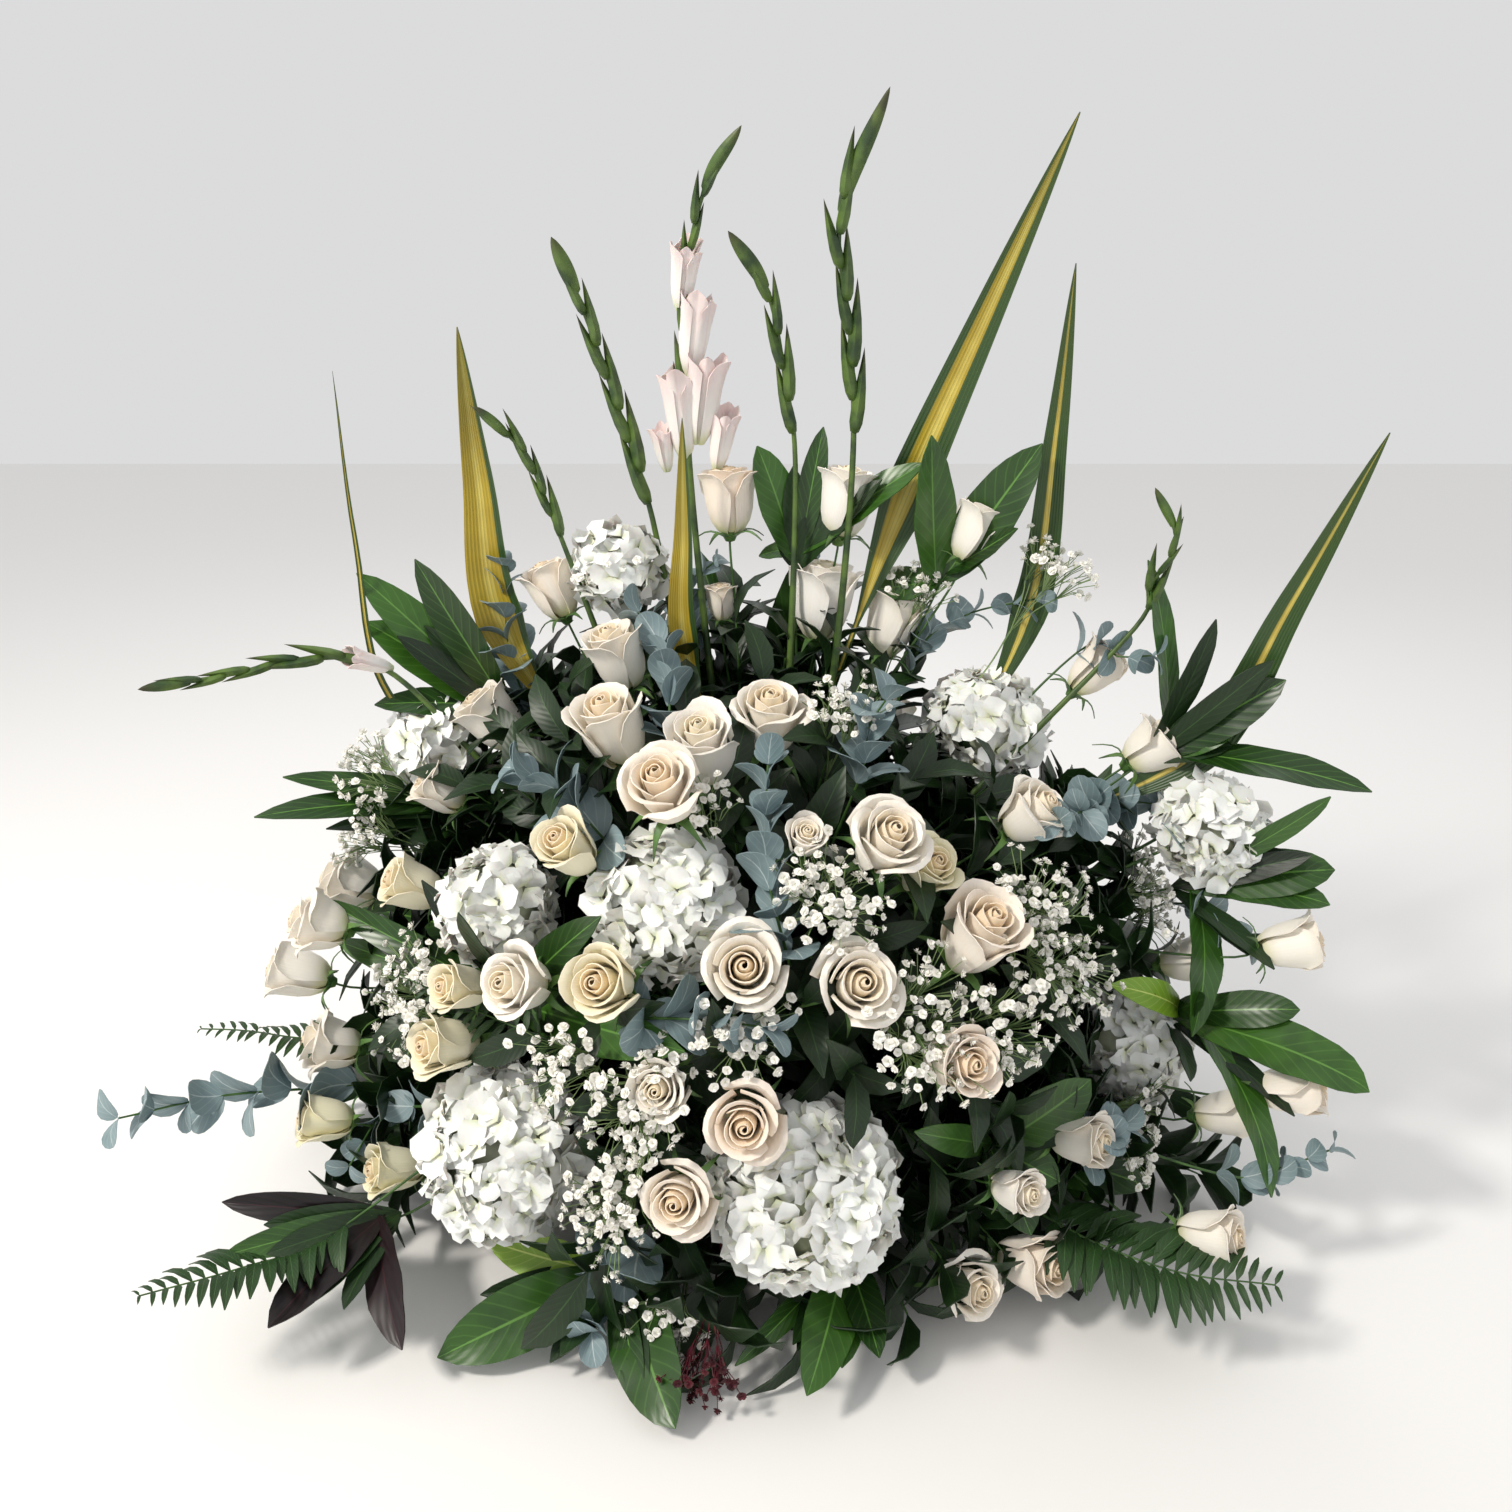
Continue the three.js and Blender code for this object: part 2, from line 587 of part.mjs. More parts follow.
function seenBloom(name, [h, v, width], isRose) {
  return bloom(name, place([h, v], isRose ? LAYERS.rose : LAYERS.head), sight([h, v]), width, isRose);
}

function backBloom(name, [compass, height, width], isRose) {
  const home = bearing([compass, height], isRose ? LAYERS.rose : LAYERS.head);
  return bloom(name, home, towards(HUB, home), width, isRose);
}

const numbered = (name, index) => `${name}_${String(index + 1).padStart(2, "0")}`;
const roseBlooms = ROSES.map((group, i) => group.map((seen) => seenBloom(numbered("roses", i), seen, true)));
const lastRoses = numbered("roses", ROSES.length);
roseBlooms.push(BACK.roses.map((placed) => backBloom(lastRoses, placed, true)));
const hydrangeaBlooms = HYDRANGEAS.map((seen, i) => seenBloom(numbered("hydrangea", i), seen, false));
hydrangeaBlooms.push(backBloom(numbered("hydrangea", HYDRANGEAS.length), BACK.hydrangea, false));
easeApart(ROUNDS);

// Every bunch: its name, its finish, its stem radius, and its members. A member has the path that its stem
// follows outside the foam, which may shift where it is loose, and makes its parts once the stem is laid.
const bunches = [];
function bunch(name, material, radius, members) {
  bunches.push({ name, material, radius, members });
}

function roseMember(entry) {
  const way = facing(entry.at);
  const base = along(entry.at, way, -roseHeight(entry.width) * 0.5);
  return {
    path: [along(base, way, entry.width * 0.2)],
    parts: () => [(grow) => roseHead(base, way, entry.width, grow)],
  };
}

function hydrangeaMember(entry, index) {
  const way = facing(entry.at);
  return {
    path: [along(entry.at, way, -entry.width * 0.22)],
    parts: () => [(grow) => hydrangeaHead(entry.at, way, entry.width, index + 1, grow)],
  };
}

// Points along a path, each on its own layer: low at the root and out at the tip.
function climb(path, [from, to]) {
  return path.map((seen, i) => place(seen, from + ((to - from) * i) / (path.length - 1)));
}

// Turns a way by a swing of [sideways, up] steps about what it grows from.
function swung(way, face, [aside, up]) {
  const step = Math.tan(LEAF_TURN * RADIANS);
  return along(along(way, across(way, face), step * aside), face, step * up).normalize();
}

function gladiolusMember({ path, buds, open, bud: longest }) {
  const parts = (spike) => {
    return repeat(buds, (i) => {
      const t = 0.04 + (0.9 * i) / buds;
      const { point, way } = new Chain(spike).atShare(t);
      const side = across(way, towards(VIEW.eye, point)).multiplyScalar(i % 2 ? 1 : -1);
      const length = longest * (1 - 0.5 * t);
      const root = along(point, side, 1.2);
      return (grow, swing) => {
        const out = swung(mix(way, side, 0.36).normalize(), sideOf(way), swing);
        if (i < open) return trumpet(root, out, length * 1.3, length * 0.62, grow);
        return bud(root, out, length, length * 0.36, 3, 0.4, grow);
      };
    });
  };
  return { path: climb(path, LAYERS.gladiolus), loose: true, parts };
}

function swordMember({ path, width }) {
  const parts = (stalk, spine) => {
    const curve = new THREE.CatmullRomCurve3([mix(...stalk.slice(-2), 0.6), ...spine.slice(2)]);
    const line = curve.getSpacedPoints(6);
    const face = towards(line[0], VIEW.eye).setZ(0.2).normalize();
    return [
      (grow, [, , slim]) => {
        const broad = (width / 2) * (1 - 0.2 * slim);
        const halves = line.map((_, i) => broad * Math.min(0.6 + 0.2 * i, Math.sqrt(1 - i / 6)));
        return leaf(line, halves, face, { keel: KEEL }, grow);
      },
    ];
  };
  const spine = climb(path, LAYERS.sword);
  return { path: [along(spine[0], towards(spine[1], spine[0]), 24), ...spine], stalk: 2, loose: true, parts };
}

const LEAN = 0.7; // how far a round leaf leans from its stalk, 1 being square to it

function eucalyptusMember(path, width, pairs) {
  const parts = (stalk) => {
    return repeat(2 * pairs, (i) => {
      const pair = Math.floor(i / 2);
      const t = 0.1 + (0.88 * pair) / (pairs - 1);
      const { point, way } = new Chain(stalk).atShare(t);
      const outward = facing(point);
      const level = across(way, outward).multiplyScalar(i % 2 ? 1 : -1);
      const side = along(level, outward, pair % 2 ? 0.5 : -0.1).normalize();
      return (grow, swing) => {
        const out = swung(mix(way, side, LEAN).normalize(), outward, swing);
        const face = along(outward, way, -0.4).normalize();
        return coin(point, out, face, width * (1 - 0.4 * t) * (1 - 0.15 * swing[2]), grow);
      };
    });
  };
  return { path, loose: true, lift: LIFT, parts };
}

function shootMember(foot, leaves) {
  const parts = (stalk) => leaves.map(([tip, width], i) => {
    const root = new Chain(stalk).atShare(0.4 + (0.55 * i) / leaves.length).point;
    const middle = mix(root, tip, 0.5);
    const face = along(facing(middle), middle.y < 0 ? towards(middle, VIEW.eye) : UP, 0.9).normalize();
    const reach = root.distanceTo(tip);
    return (grow, swing) => {
      const way = swung(towards(root, tip), face, swing);
      const end = along(root, way, reach);
      end.z = Math.max(end.z, FLOOR);
      const arch = along(mix(root, end, 0.5), face, reach * 0.12);
      const curve = new THREE.QuadraticBezierCurve3(root, arch, end);
      const line = [0, 0.16, 0.5, 0.78, 1].map((t) => curve.getPoint(t));
      const halves = [0, 0.14, 1, 0.62, 0].map((share) => (share * width * (1 - 0.2 * swing[2])) / 2);
      return leaf(line, halves, face, {}, grow);
    };
  });
  const path = [along(foot, facing(foot), -36), along(foot, facing(foot), 4)];
  return { path, loose: true, lift: LIFT, parts };
}

function fernMember({ path, width, pairs }) {
  const parts = (stalk, spine) => {
    const rib = new THREE.CatmullRomCurve3([mix(...stalk.slice(-2), 0.6), ...spine.slice(2)]);
    const line = rib.getSpacedPoints(2 * pairs + 2);
    const face = along(facing(line[pairs]), UP, 0.6).normalize();
    const shares = line.map((_, i) => i / (line.length - 1));
    return [
      (grow, [, , slim]) => {
        const broad = (width / 2) * (1 - 0.2 * slim);
        const outline = (t) => Math.min(1, 0.45 + 2 * t, 0.12 + 1.5 * (1 - t));
        const halves = shares.map((t, i) => (i % 2 ? 2 : broad * outline(t)));
        return leaf(line, halves, face, { sweep: 0.35, keel: KEEL }, grow);
      },
    ];
  };
  const rib = climb(path, LAYERS.fern);
  return { path: [along(rib[0], towards(rib[1], rib[0]), 24), ...rib], stalk: 2, loose: true, parts };
}

// Stalks that part from one point, each with a floret or a berry at its end, in one skin: a low cone whose
// top triangles are drawn out, each to its own end. A stalk that has no clear way out is left out.
function burst(root, way, ends, head, grow) {
  const rim = (swell) => cornersRound(root, way, ends.length, KNOT + swell);
  const corners = (swell) => [along(root, way, 1 + swell), ...rim(swell)];
  const bare = corners(0);
  const points = [along(root, way, -KNOT_DEPTH - grow), ...corners(grow)];
  const faces = [];
  ends.forEach((end, i) => {
    const base = [1, 2 + i, 2 + ((i + 1) % ends.length)];
    const own = base.map((k) => bare[k - 1]);
    faces.push(0, base[2], base[1]);
    if (!end) {
      faces.push(...base);
      return;
    }
    const tip = along(end, towards(root, end), 2 * grow);
    growLimb(points, faces, base, own, [mix(root, end, 0.88)], head / 2 + 2 * grow, tip);
  });
  return solid(new THREE.BufferGeometry().setFromPoints(points).setIndex(faces));
}

function sprayMember([h, v, width], index, head) {
  const [low, parting, out] = LAYERS.spray;
  const heart = place([h, v], out);
  const foot = mix(HUB, heart, parting);
  const next = draws(index + 31);
  const reaches = repeat(SPRAY_STALKS, () => {
    return { out: (width / 2) * (0.5 + 0.5 * next()), up: 0.96 + 0.08 * next() };
  });
  const parts = (stalk) => {
    const way = towards(stalk.at(-2), stalk.at(-1));
    const root = along(stalk.at(-1), way, KNOT_DEPTH / 3);
    const side = sideOf(way);
    const other = across(way, side);
    const ends = [];
    const maker = (grow) => burst(root, way, ends, head, grow);
    // A stalk stays in its own sixth of the round, so that no two cross.
    const isInSector = (line, turn) => {
      const [x, y] = [line.dot(side), line.dot(other)];
      const off = Math.acos(Math.cos(Math.atan2(y, x) - turn));
      if (off > Math.PI / SPRAY_STALKS || line.dot(way) < line.length() / 2) return false;
      return Math.hypot(x, y) * Math.sin(Math.PI / SPRAY_STALKS - off) > head / 2;
    };
    maker.settle = (isClear) => reaches.forEach(({ out, up }, i) => {
      const turn = (2 * Math.PI * (i + 0.5)) / SPRAY_STALKS;
      const beside = along(mix(HUB, heart, up), side, out * Math.cos(turn));
      const level = along(beside, other, out * Math.sin(turn));
      ends.push(null);
      for (const [aside, lift] of SWINGS) {
        const target = along(along(level, side, aside * 6), other, lift * 6);
        target.z = Math.max(target.z, FLOOR + head);
        const line = target.clone().sub(root);
        if (!isInSector(line, turn)) continue;
        if (!isClear(bud(root, towards(root, target), line.length(), head + 1, 3, 0.88, FIT))) continue;
        ends[i] = target;
        break;
      }
    });
    return [maker];
  };
  return { path: [mix(HUB, heart, low), foot], loose: true, parts };
}

roseBlooms.forEach((group, i) => bunch(numbered("roses", i), FINISH.rose, 2.2, group.map(roseMember)));
hydrangeaBlooms.forEach((entry, i) => {
  bunch(numbered("hydrangea", i), FINISH.hydrangea, 3, [hydrangeaMember(entry, i)]);
});
GLADIOLI.forEach((spike, i) => {
  bunch(numbered("gladiolus", i), FINISH.gladiolus, 2.8, [gladiolusMember(spike)]);
});
SWORDS.forEach((group, i) => {
  bunch(numbered("sword_leaves", i), FINISH.sword, 2, group.map(swordMember));
});
EUCALYPTUS.forEach((group, i) => {
  const members = group.map(({ path, width, pairs }) => {
    return eucalyptusMember(climb(path, LAYERS.eucalyptus), width, pairs);
  });
  bunch(numbered("eucalyptus", i), FINISH.eucalyptus, 1.8, members);
});
bunch(
  numbered("eucalyptus", EUCALYPTUS.length),
  FINISH.eucalyptus,
  1.8,
  BACK.eucalyptus.map(([compass, height, width]) => {
    const stalk = LAYERS.backSprig.map((layer, i) => bearing([compass, height + 6 * i], layer));
    return eucalyptusMember(stalk, width, 3);
  }),
);
SHOOTS.forEach((group, i) => {
  const members = group.map(({ part, leaves }) => {
    return shootMember(place(part, LAYERS.shoot), leaves.map(([h, v, width]) => [place([h, v]), width]));
  });
  bunch(numbered("leafy_shoots", i), FINISH.shoot, 2, members);
});
bunch(
  numbered("leafy_shoots", SHOOTS.length),
  FINISH.shoot,
  2,
  BACK.shoots.map(({ part, leaves }) => {
    const foot = bearing(part, LAYERS.backShoot);
    return shootMember(foot, leaves.map((tip) => [bearing(tip, LAYERS.backLeaf), BACK.leaf]));
  }),
);
FERNS.forEach((group, i) => bunch(numbered("fern", i), FINISH.fern, 1.8, group.map(fernMember)));
SPRAYS.forEach((group, i) => {
  const members = group.map((spray, k) => sprayMember(spray, 10 * i + k, FLORET));
  bunch(numbered("babys_breath", i), FINISH.spray, 1.5, members);
});
bunch("burgundy_sprig", FINISH.berries, 1.5, BERRIES.map((spray, k) => sprayMember(spray, k, BERRY)));

// Where each bunch enters the foam: towards its own blooms, but clear of the bunches beside it.
function spreadTrunks(rounds) {
  const least = TRUNK_TURN * RADIANS;
  for (const each of bunches) {
    each.way = sumOf(each.members.map(({ path }) => towards(HUB, path[0]))).normalize();
  }
  for (let round = 0; round < rounds; round += 1) {
    for (const a of bunches) {
      for (const b of bunches) {
        const turn = a.way.angleTo(b.way);
        if (a === b || turn >= least) continue;
        const push = towards(b.way, a.way).multiplyScalar((least - turn) * 0.3);
        a.way.add(push).normalize();
        b.way.sub(push).normalize();
      }
    }
  }
}

// How far from the hub a line leaves the foam.
function foamReach(way) {
  const top = FOAM.height + TRAY.floor - HUB.z;
  const below = HUB.z - TRAY.floor;
  return Math.min(
    FOAM.width / 2 / Math.abs(way.x),
    FOAM.depth / 2 / Math.abs(way.y),
    (way.z > 0 ? top : below) / Math.abs(way.z),
  );
}

// Swings in the order in which they are tried: none, then ever wider ones all round. The third number lifts a
// sprig out, or slims a leaf.
const SWINGS = [];
for (const third of [0, 1, 2]) {
  SWINGS.push([0, 0, third]);
  for (const reach of [1, 2, 3]) {
    for (const turn of [0, 60, 120, 180, 240, 300]) {
      SWINGS.push([reach * Math.cos(turn * RADIANS), reach * Math.sin(turn * RADIANS), third]);
    }
  }
}

const CLEAR = 1e-6; // a shared volume that counts as none
const SPINS = [0, 20, -20, 40, -40, 60, -60, 80, -80]; // turns of a trunk that are tried, in degrees
const ROOTS = 0.5; // what two leaves of one bunch may share at their roots
const TRIES = 5; // how many of the swings that are nearest to clear are notched, to keep the best
const LEAST_KEPT = 0.35; // a piece of which less than this share would be left is left out
const FLAT = 0.12; // splits in a face that is flat to within this are merged

// The pieces that are set so far
const set = [];

function setPiece(name, piece, build, isStem = false) {
  set.push({ name, piece, box: piece.boundingBox(), room: () => build(FIT), isStem });
}

function meets(box, other) {
  return [0, 1, 2].every((k) => box.min[k] < other.max[k] && other.min[k] < box.max[k]);
}

function neighbours(piece, name) {
  const box = piece.boundingBox();
  return set.filter((other) => other.name !== name && meets(box, other.box));
}

// How much of a piece lies in other pieces, counted up to a limit. Leaves of one bunch may meet at their
// roots.
function overlap(piece, name, limit) {
  let sum = 0;
  for (const other of set) {
    if ((other.name === name && other.isStem) || !meets(piece.boundingBox(), other.box)) continue;
    const common = piece.intersect(other.piece);
    const shared = common.volume();
    common.delete();
    if (other.name !== name || shared > ROOTS) sum += shared;
    if (sum > limit) break;
  }
  return sum;
}

const largest = (pieces) => pieces.reduce((a, b) => (a.volume() > b.volume() ? a : b));

// What is left of a piece that is notched by the room of all that it meets, and still grows from its stem.
function notched(build, swing, name) {
  let piece = build(0, swing);
  for (const other of neighbours(build(FIT, swing), name)) piece = piece.subtract(other.room());
  const stems = set.filter((other) => other.name === name && other.isStem);
  const isRooted = (body) => stems.some((stalk) => !body.intersect(stalk.piece).isEmpty());
  const rooted = piece.decompose().filter(isRooted);
  return rooted.length ? largest(rooted) : null;
}

// Tries each swing of a piece until its room is clear, or notches it where it is nearest to clear.
function fitted(build, name, swings) {
  const tries = [];
  for (const swing of swings) {
    const piece = build(FIT, swing);
    const shared = overlap(piece, name, tries.length < TRIES ? Infinity : tries[TRIES - 1].shared);
    piece.delete();
    if (shared < CLEAR) return { swing, piece: build(0, swing) };
    tries.push({ swing, shared });
    tries.sort((a, b) => a.shared - b.shared);
  }
  const cuts = tries.slice(0, TRIES).map(({ swing }) => ({ swing, piece: notched(build, swing, name) }));
  const kept = cuts.filter(({ swing, piece }) => {
    return piece && piece.volume() > LEAST_KEPT * build(0, swing).volume();
  });
  return kept.length ? kept.reduce((a, b) => (a.piece.volume() > b.piece.volume() ? a : b)) : null;
}

// Stems first: straight in the foam, then bowed clear of every stem and bloom that is set.
const keepClear = [];

function spots(points, radius, name) {
  const found = [];
  for (let i = 0; i + 1 < points.length; i += 1) {
    const count = Math.ceil(points[i].distanceTo(points[i + 1]) / 5);
    for (let k = 0; k <= count; k += 1) {
      found.push({ at: mix(points[i], points[i + 1], k / count), radius, name });
    }
  }
  return found;
}

// The least room between a stem's spots and all that it has to pass.
function squeeze(points, others) {
  let worst = Infinity;
  for (const { at, radius } of points) {
    for (const other of others) {
      worst = Math.min(worst, at.distanceTo(other.at) - radius - other.radius - STEM_ROOM);
    }
  }
  return worst;
}

// The corners of the outer end of a trunk: its middle, and then its rim.
function trunkEnd({ start, way, radius, turn, members }, grow) {
  const count = Math.max(members.length, 3);
  const reach = TRUNK_FLARE * radius + grow / Math.cos(Math.PI / count);
  return [along(start, way, 1 + grow), ...cornersRound(start, way, count, reach, turn - Math.PI / count)];
}

// The corners, by number, of the end triangle of a trunk that a stem grows out of.
const endTriangle = (slot, count) => [0, 1 + slot, 1 + ((slot + 1) % count)];

// The bundled stems of a bunch as one skin: a trunk that widens to its outer end, whose end triangles are
// drawn out as the stems.
function fork(each, grow) {
  const { end, way, radius, turn, members } = each;
  const count = Math.max(members.length, 3);
  const reach = radius + grow / Math.cos(Math.PI / count);
  const inner = cornersRound(along(end, way, -grow), way, count, reach, turn - Math.PI / count);
  const bare = trunkEnd(each, 0);
  const points = [...trunkEnd(each, grow), ...inner];
  const faces = [];
  for (let i = 0; i < count; i += 1) {
    const [, d, c] = endTriangle(i, count);
    const [a, b] = [d + count, c + count];
    faces.push(a, b, c, a, c, d);
    if (i > 0 && i + 1 < count) faces.push(1 + count, b, a);
    const member = members.find(({ slot }) => slot === i);
    if (!member) {
      faces.push(0, d, c);
      continue;
    }
    const corners = [bare[0], bare[d], bare[c]];
    growLimb(points, faces, [0, d, c], corners, member.points.slice(1), radius + 2 * grow);
  }
  return solid(new THREE.BufferGeometry().setFromPoints(points).setIndex(faces));
}

// Gives each stem of a bunch the end triangle of the trunk that lies towards its foot, with the trunk spun a
// little about itself.
function partStarts(each, spin) {
  const { start, way, members, radius } = each;
  const side = sideOf(way);
  const other = across(way, side);
  const count = Math.max(members.length, 3);
  const bearingOf = ({ path }) => {
    const line = path[0].clone().sub(start);
    return Math.atan2(line.dot(other), line.dot(side));
  };
  const inOrder = [...members].sort((a, b) => bearingOf(a) - bearingOf(b));
  const first = mean(inOrder.map((member, i) => {
    const turn = bearingOf(member) - (2 * Math.PI * i) / count;
    return new THREE.Vector3(Math.cos(turn), Math.sin(turn), 0);
  }));
  each.turn = Math.atan2(first.y, first.x) + spin;
  inOrder.forEach((member, i) => {
    member.slot = i;
    const turn = each.turn + (2 * Math.PI * i) / count;
    const reach = members.length > 1 ? 0.5 * TRUNK_FLARE * radius : 0;
    member.start = along(along(start, side, reach * Math.cos(turn)), other, reach * Math.sin(turn));
  });
}

// How much two stems of a forked bunch lie in each other.
function crossed(each) {
  const { radius, members } = each;
  if (members.length < 2) return 0;
  const bare = trunkEnd(each, 0);
  const limbs = members.map(({ slot, points: path }) => {
    const points = endTriangle(slot, bare.length - 1).map((k) => bare[k]);
    const faces = [0, 2, 1];
    growLimb(points, faces, [0, 1, 2], [...points], path.slice(1), radius);
    return solid(new THREE.BufferGeometry().setFromPoints(points).setIndex(faces));
  });
  let sum = 0;
  limbs.forEach((limb, i) => limbs.slice(i + 1).forEach((other) => {
    sum += limb.intersect(other).volume();
  }));
  return sum;
}

function layStem(each, member) {
  const { name, radius } = each;
  const foot = member.path[0];
  const start = member.start;
  const line = towards(start, foot);
  const side = sideOf(line);
  const other = across(line, side);
  const reach = new THREE.Box3().setFromPoints([start, ...member.path]).expandByScalar(8 * BOW);
  const others = keepClear.filter((spot) => {
    const isApart = spot.isLimb && spot.at.distanceTo(each.start) > PARTED;
    return reach.containsPoint(spot.at) && (spot.name !== name || isApart);
  });
  let best = { room: -Infinity };
  for (const [aside, up, outward] of [...SWINGS, ...SWINGS.map((swing) => swing.map((step) => 2 * step))]) {
    const offset = along(side.clone().multiplyScalar(BOW * aside), other, BOW * up);
    const shift = member.loose ? offset : new THREE.Vector3();
    const lift = 1 + (member.lift ?? 0) * outward;
    const path = member.path.map((point) => {
      return along(HUB, point.clone().sub(HUB), lift).addScaledVector(shift, 0.8);
    });
    const middle = along(mix(start, foot, 0.5), each.way, start.distanceTo(foot) * 0.06).add(offset);
    const beyond = path.slice(0, member.stalk ?? path.length);
    const points = [start, middle, ...beyond];
    const found = spots(points, radius, name);
    const room = squeeze(found, others);
    if (room > best.room) best = { points, beyond, found, path, room };
    if (room >= 0) break;
  }
  for (const spot of best.found) keepClear.push({ ...spot, isLimb: true });
  return best;
}

spreadTrunks(200);
for (const each of bunches) {
  const start = along(HUB, each.way, foamReach(each.way) + FORK);
  each.start = start;
  each.end = along(HUB, each.way, STEM_END);
  keepClear.push(...spots([each.end, start], each.radius * 1.5, each.name));
}
for (const { at, radius, name } of blooms) keepClear.push({ at, radius: radius * 0.92, name });
for (const each of bunches) {
  const before = keepClear.length;
  for (const spin of SPINS) {
    keepClear.length = before;
    partStarts(each, spin * RADIANS);
    for (const member of each.members) Object.assign(member, layStem(each, member));
    if (crossed(each) < CLEAR) break;
  }
  for (const member of each.members) member.makers = member.parts(member.beyond, member.path);
  const forked = (grow) => fork(each, grow);
  const single = (grow) => stem([each.end, ...each.members[0].points], each.radius, 3, grow);
  const build = each.members.length > 1 ? forked : single;
  each.pieces = [build(0)];
  each.inFoam = build(FIT);
  setPiece(each.name, each.pieces[0], build, true);
}

// Then blooms and leaves, each swung clear of what is set, or notched where nothing is clear enough.
for (const each of bunches) {
  for (const member of each.members) {
    for (const build of member.makers) {
      build.settle?.((stalk) => overlap(stalk, each.name, CLEAR) < CLEAR);
      const found = fitted(build, each.name, build.settle ? SWINGS.slice(0, 1) : SWINGS);
      if (!found) continue;
      each.pieces.push(found.piece);
      setPiece(each.name, found.piece, (grow) => build(grow, found.swing));
    }
  }
}

// The tray and the foam that the stems stand in
function traySolid() {
  const { rim, foot, height, wall, floor, sides } = TRAY;
  const lip = 6;
  const profile = [[0, 0], [foot, 0], [rim, height], [rim - lip, height], [foot - wall, floor], [0, floor]];
  const lathe = new THREE.LatheGeometry(profile.map(([r, z]) => new THREE.Vector2(r, z)), sides);
  return solid(lathe.rotateX(Math.PI / 2));
}

function foamSolid() {
  const { width, depth, height, chamfer } = FOAM;
  const block = new THREE.BoxGeometry(width, depth, height).translate(0, 0, TRAY.floor + height / 2);
  const outline = new THREE.Shape()
    .moveTo(-width / 2, -depth / 2)
    .lineTo(width / 2, -depth / 2)
    .lineTo(width / 2, depth / 2)
    .lineTo(-width / 2, depth / 2);
  const cut = new THREE.ExtrudeGeometry(outline, {
    depth: height - chamfer,
    bevelEnabled: true,
    bevelThickness: chamfer,
    bevelSize: chamfer,
    bevelOffset: -chamfer,
    bevelSegments: 1,
  });
  const topped = solid(cut.translate(0, 0, TRAY.floor));
  return solid(block).intersect(topped).subtract(wasm.Manifold.union(bunches.map((each) => each.inFoam)));
}

const bouquet = new THREE.Group();

function addNode(name, piece, material) {
  const mesh = new THREE.Mesh(geometryOf(piece), material);
  mesh.name = name;
  bouquet.add(mesh);
}

addNode("tray", traySolid(), FINISH.tray);
addNode("foam", foamSolid(), FINISH.foam);
for (const each of bunches) {
  addNode(each.name, largest(wasm.Manifold.union(each.pieces).simplify(FLAT).decompose()), each.material);
}

export default bouquet;
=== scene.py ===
# %% [markdown]
# # A funeral bouquet, flower by flower
# The real object is a large one-sided arrangement: roses, hydrangeas and gladioli fanned out of wet foam in a
# low tray, with eucalyptus, baby's breath, fern and broad leaves between them. Every stem runs to one point
# in the foam, which is why the whole face is a dome. Each flower is built here at the place of its solid in
# the frame, as finely as the real one, and rides with the frame's one body.

# %% Load the frame
import math
import bpy
import numpy as np
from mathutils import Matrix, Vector
from mathutils.kdtree import KDTree


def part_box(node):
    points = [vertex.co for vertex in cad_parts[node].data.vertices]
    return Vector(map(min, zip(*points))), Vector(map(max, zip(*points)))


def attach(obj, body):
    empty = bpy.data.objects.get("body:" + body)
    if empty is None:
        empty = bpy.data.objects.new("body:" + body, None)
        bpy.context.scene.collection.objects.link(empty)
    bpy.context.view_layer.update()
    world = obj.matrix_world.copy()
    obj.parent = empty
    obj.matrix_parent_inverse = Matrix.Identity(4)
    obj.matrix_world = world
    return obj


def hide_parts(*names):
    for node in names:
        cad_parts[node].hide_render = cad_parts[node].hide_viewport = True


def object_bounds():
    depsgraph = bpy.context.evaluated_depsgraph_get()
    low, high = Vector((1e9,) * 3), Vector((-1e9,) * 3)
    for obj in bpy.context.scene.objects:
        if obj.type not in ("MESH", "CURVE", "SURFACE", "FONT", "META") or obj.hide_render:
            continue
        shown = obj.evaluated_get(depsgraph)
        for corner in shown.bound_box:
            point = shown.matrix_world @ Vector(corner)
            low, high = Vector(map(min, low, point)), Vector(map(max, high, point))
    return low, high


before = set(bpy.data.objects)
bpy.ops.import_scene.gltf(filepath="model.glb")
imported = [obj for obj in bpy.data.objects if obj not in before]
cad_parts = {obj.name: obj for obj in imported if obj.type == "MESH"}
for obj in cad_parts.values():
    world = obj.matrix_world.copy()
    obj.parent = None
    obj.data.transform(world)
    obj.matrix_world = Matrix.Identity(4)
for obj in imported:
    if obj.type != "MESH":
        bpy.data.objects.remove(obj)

cad_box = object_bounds()
print("nodes in the frame:", len(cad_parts))

# %% [markdown]
# ## One round face for every flower
# A florist keeps the tips of all flowers on one rounded surface. Here that surface is four quarter
# ellipsoids round the point that the stems aim at, and a flower's place is where a line of sight of the front
# view meets it. A place is written as [across, down] in that view, so a reader can find it by eye.

# %% The dome, the eye and the line of sight
MM = 0.001
HUB = Vector((0, 0, 0.150))
DOME = {"side": 0.375, "front": 0.330, "back": 0.235, "up": 0.425, "down": 0.200}
EYE = Vector((0, -1.1, 0.828))
PITCH = math.radians(20)
FOCAL = 1231
MIDDLE = 756
# No tip is placed lower than this
FLOOR = 0.005
UP = Vector((0, 0, 1))
LEAST_RISE = 0.35
# Where along a line of sight a place is looked for, in mm from the eye
SEARCH = range(500, 1900, 2)


def level(point):
    """How far out a point is: 1 on the face of the blooms, 0 at the hub."""
    p = point - HUB
    depth = DOME["front"] if p.y < 0 else DOME["back"]
    height = DOME["up"] if p.z > 0 else DOME["down"]
    return math.hypot(p.x / DOME["side"], p.y / depth, p.z / height)


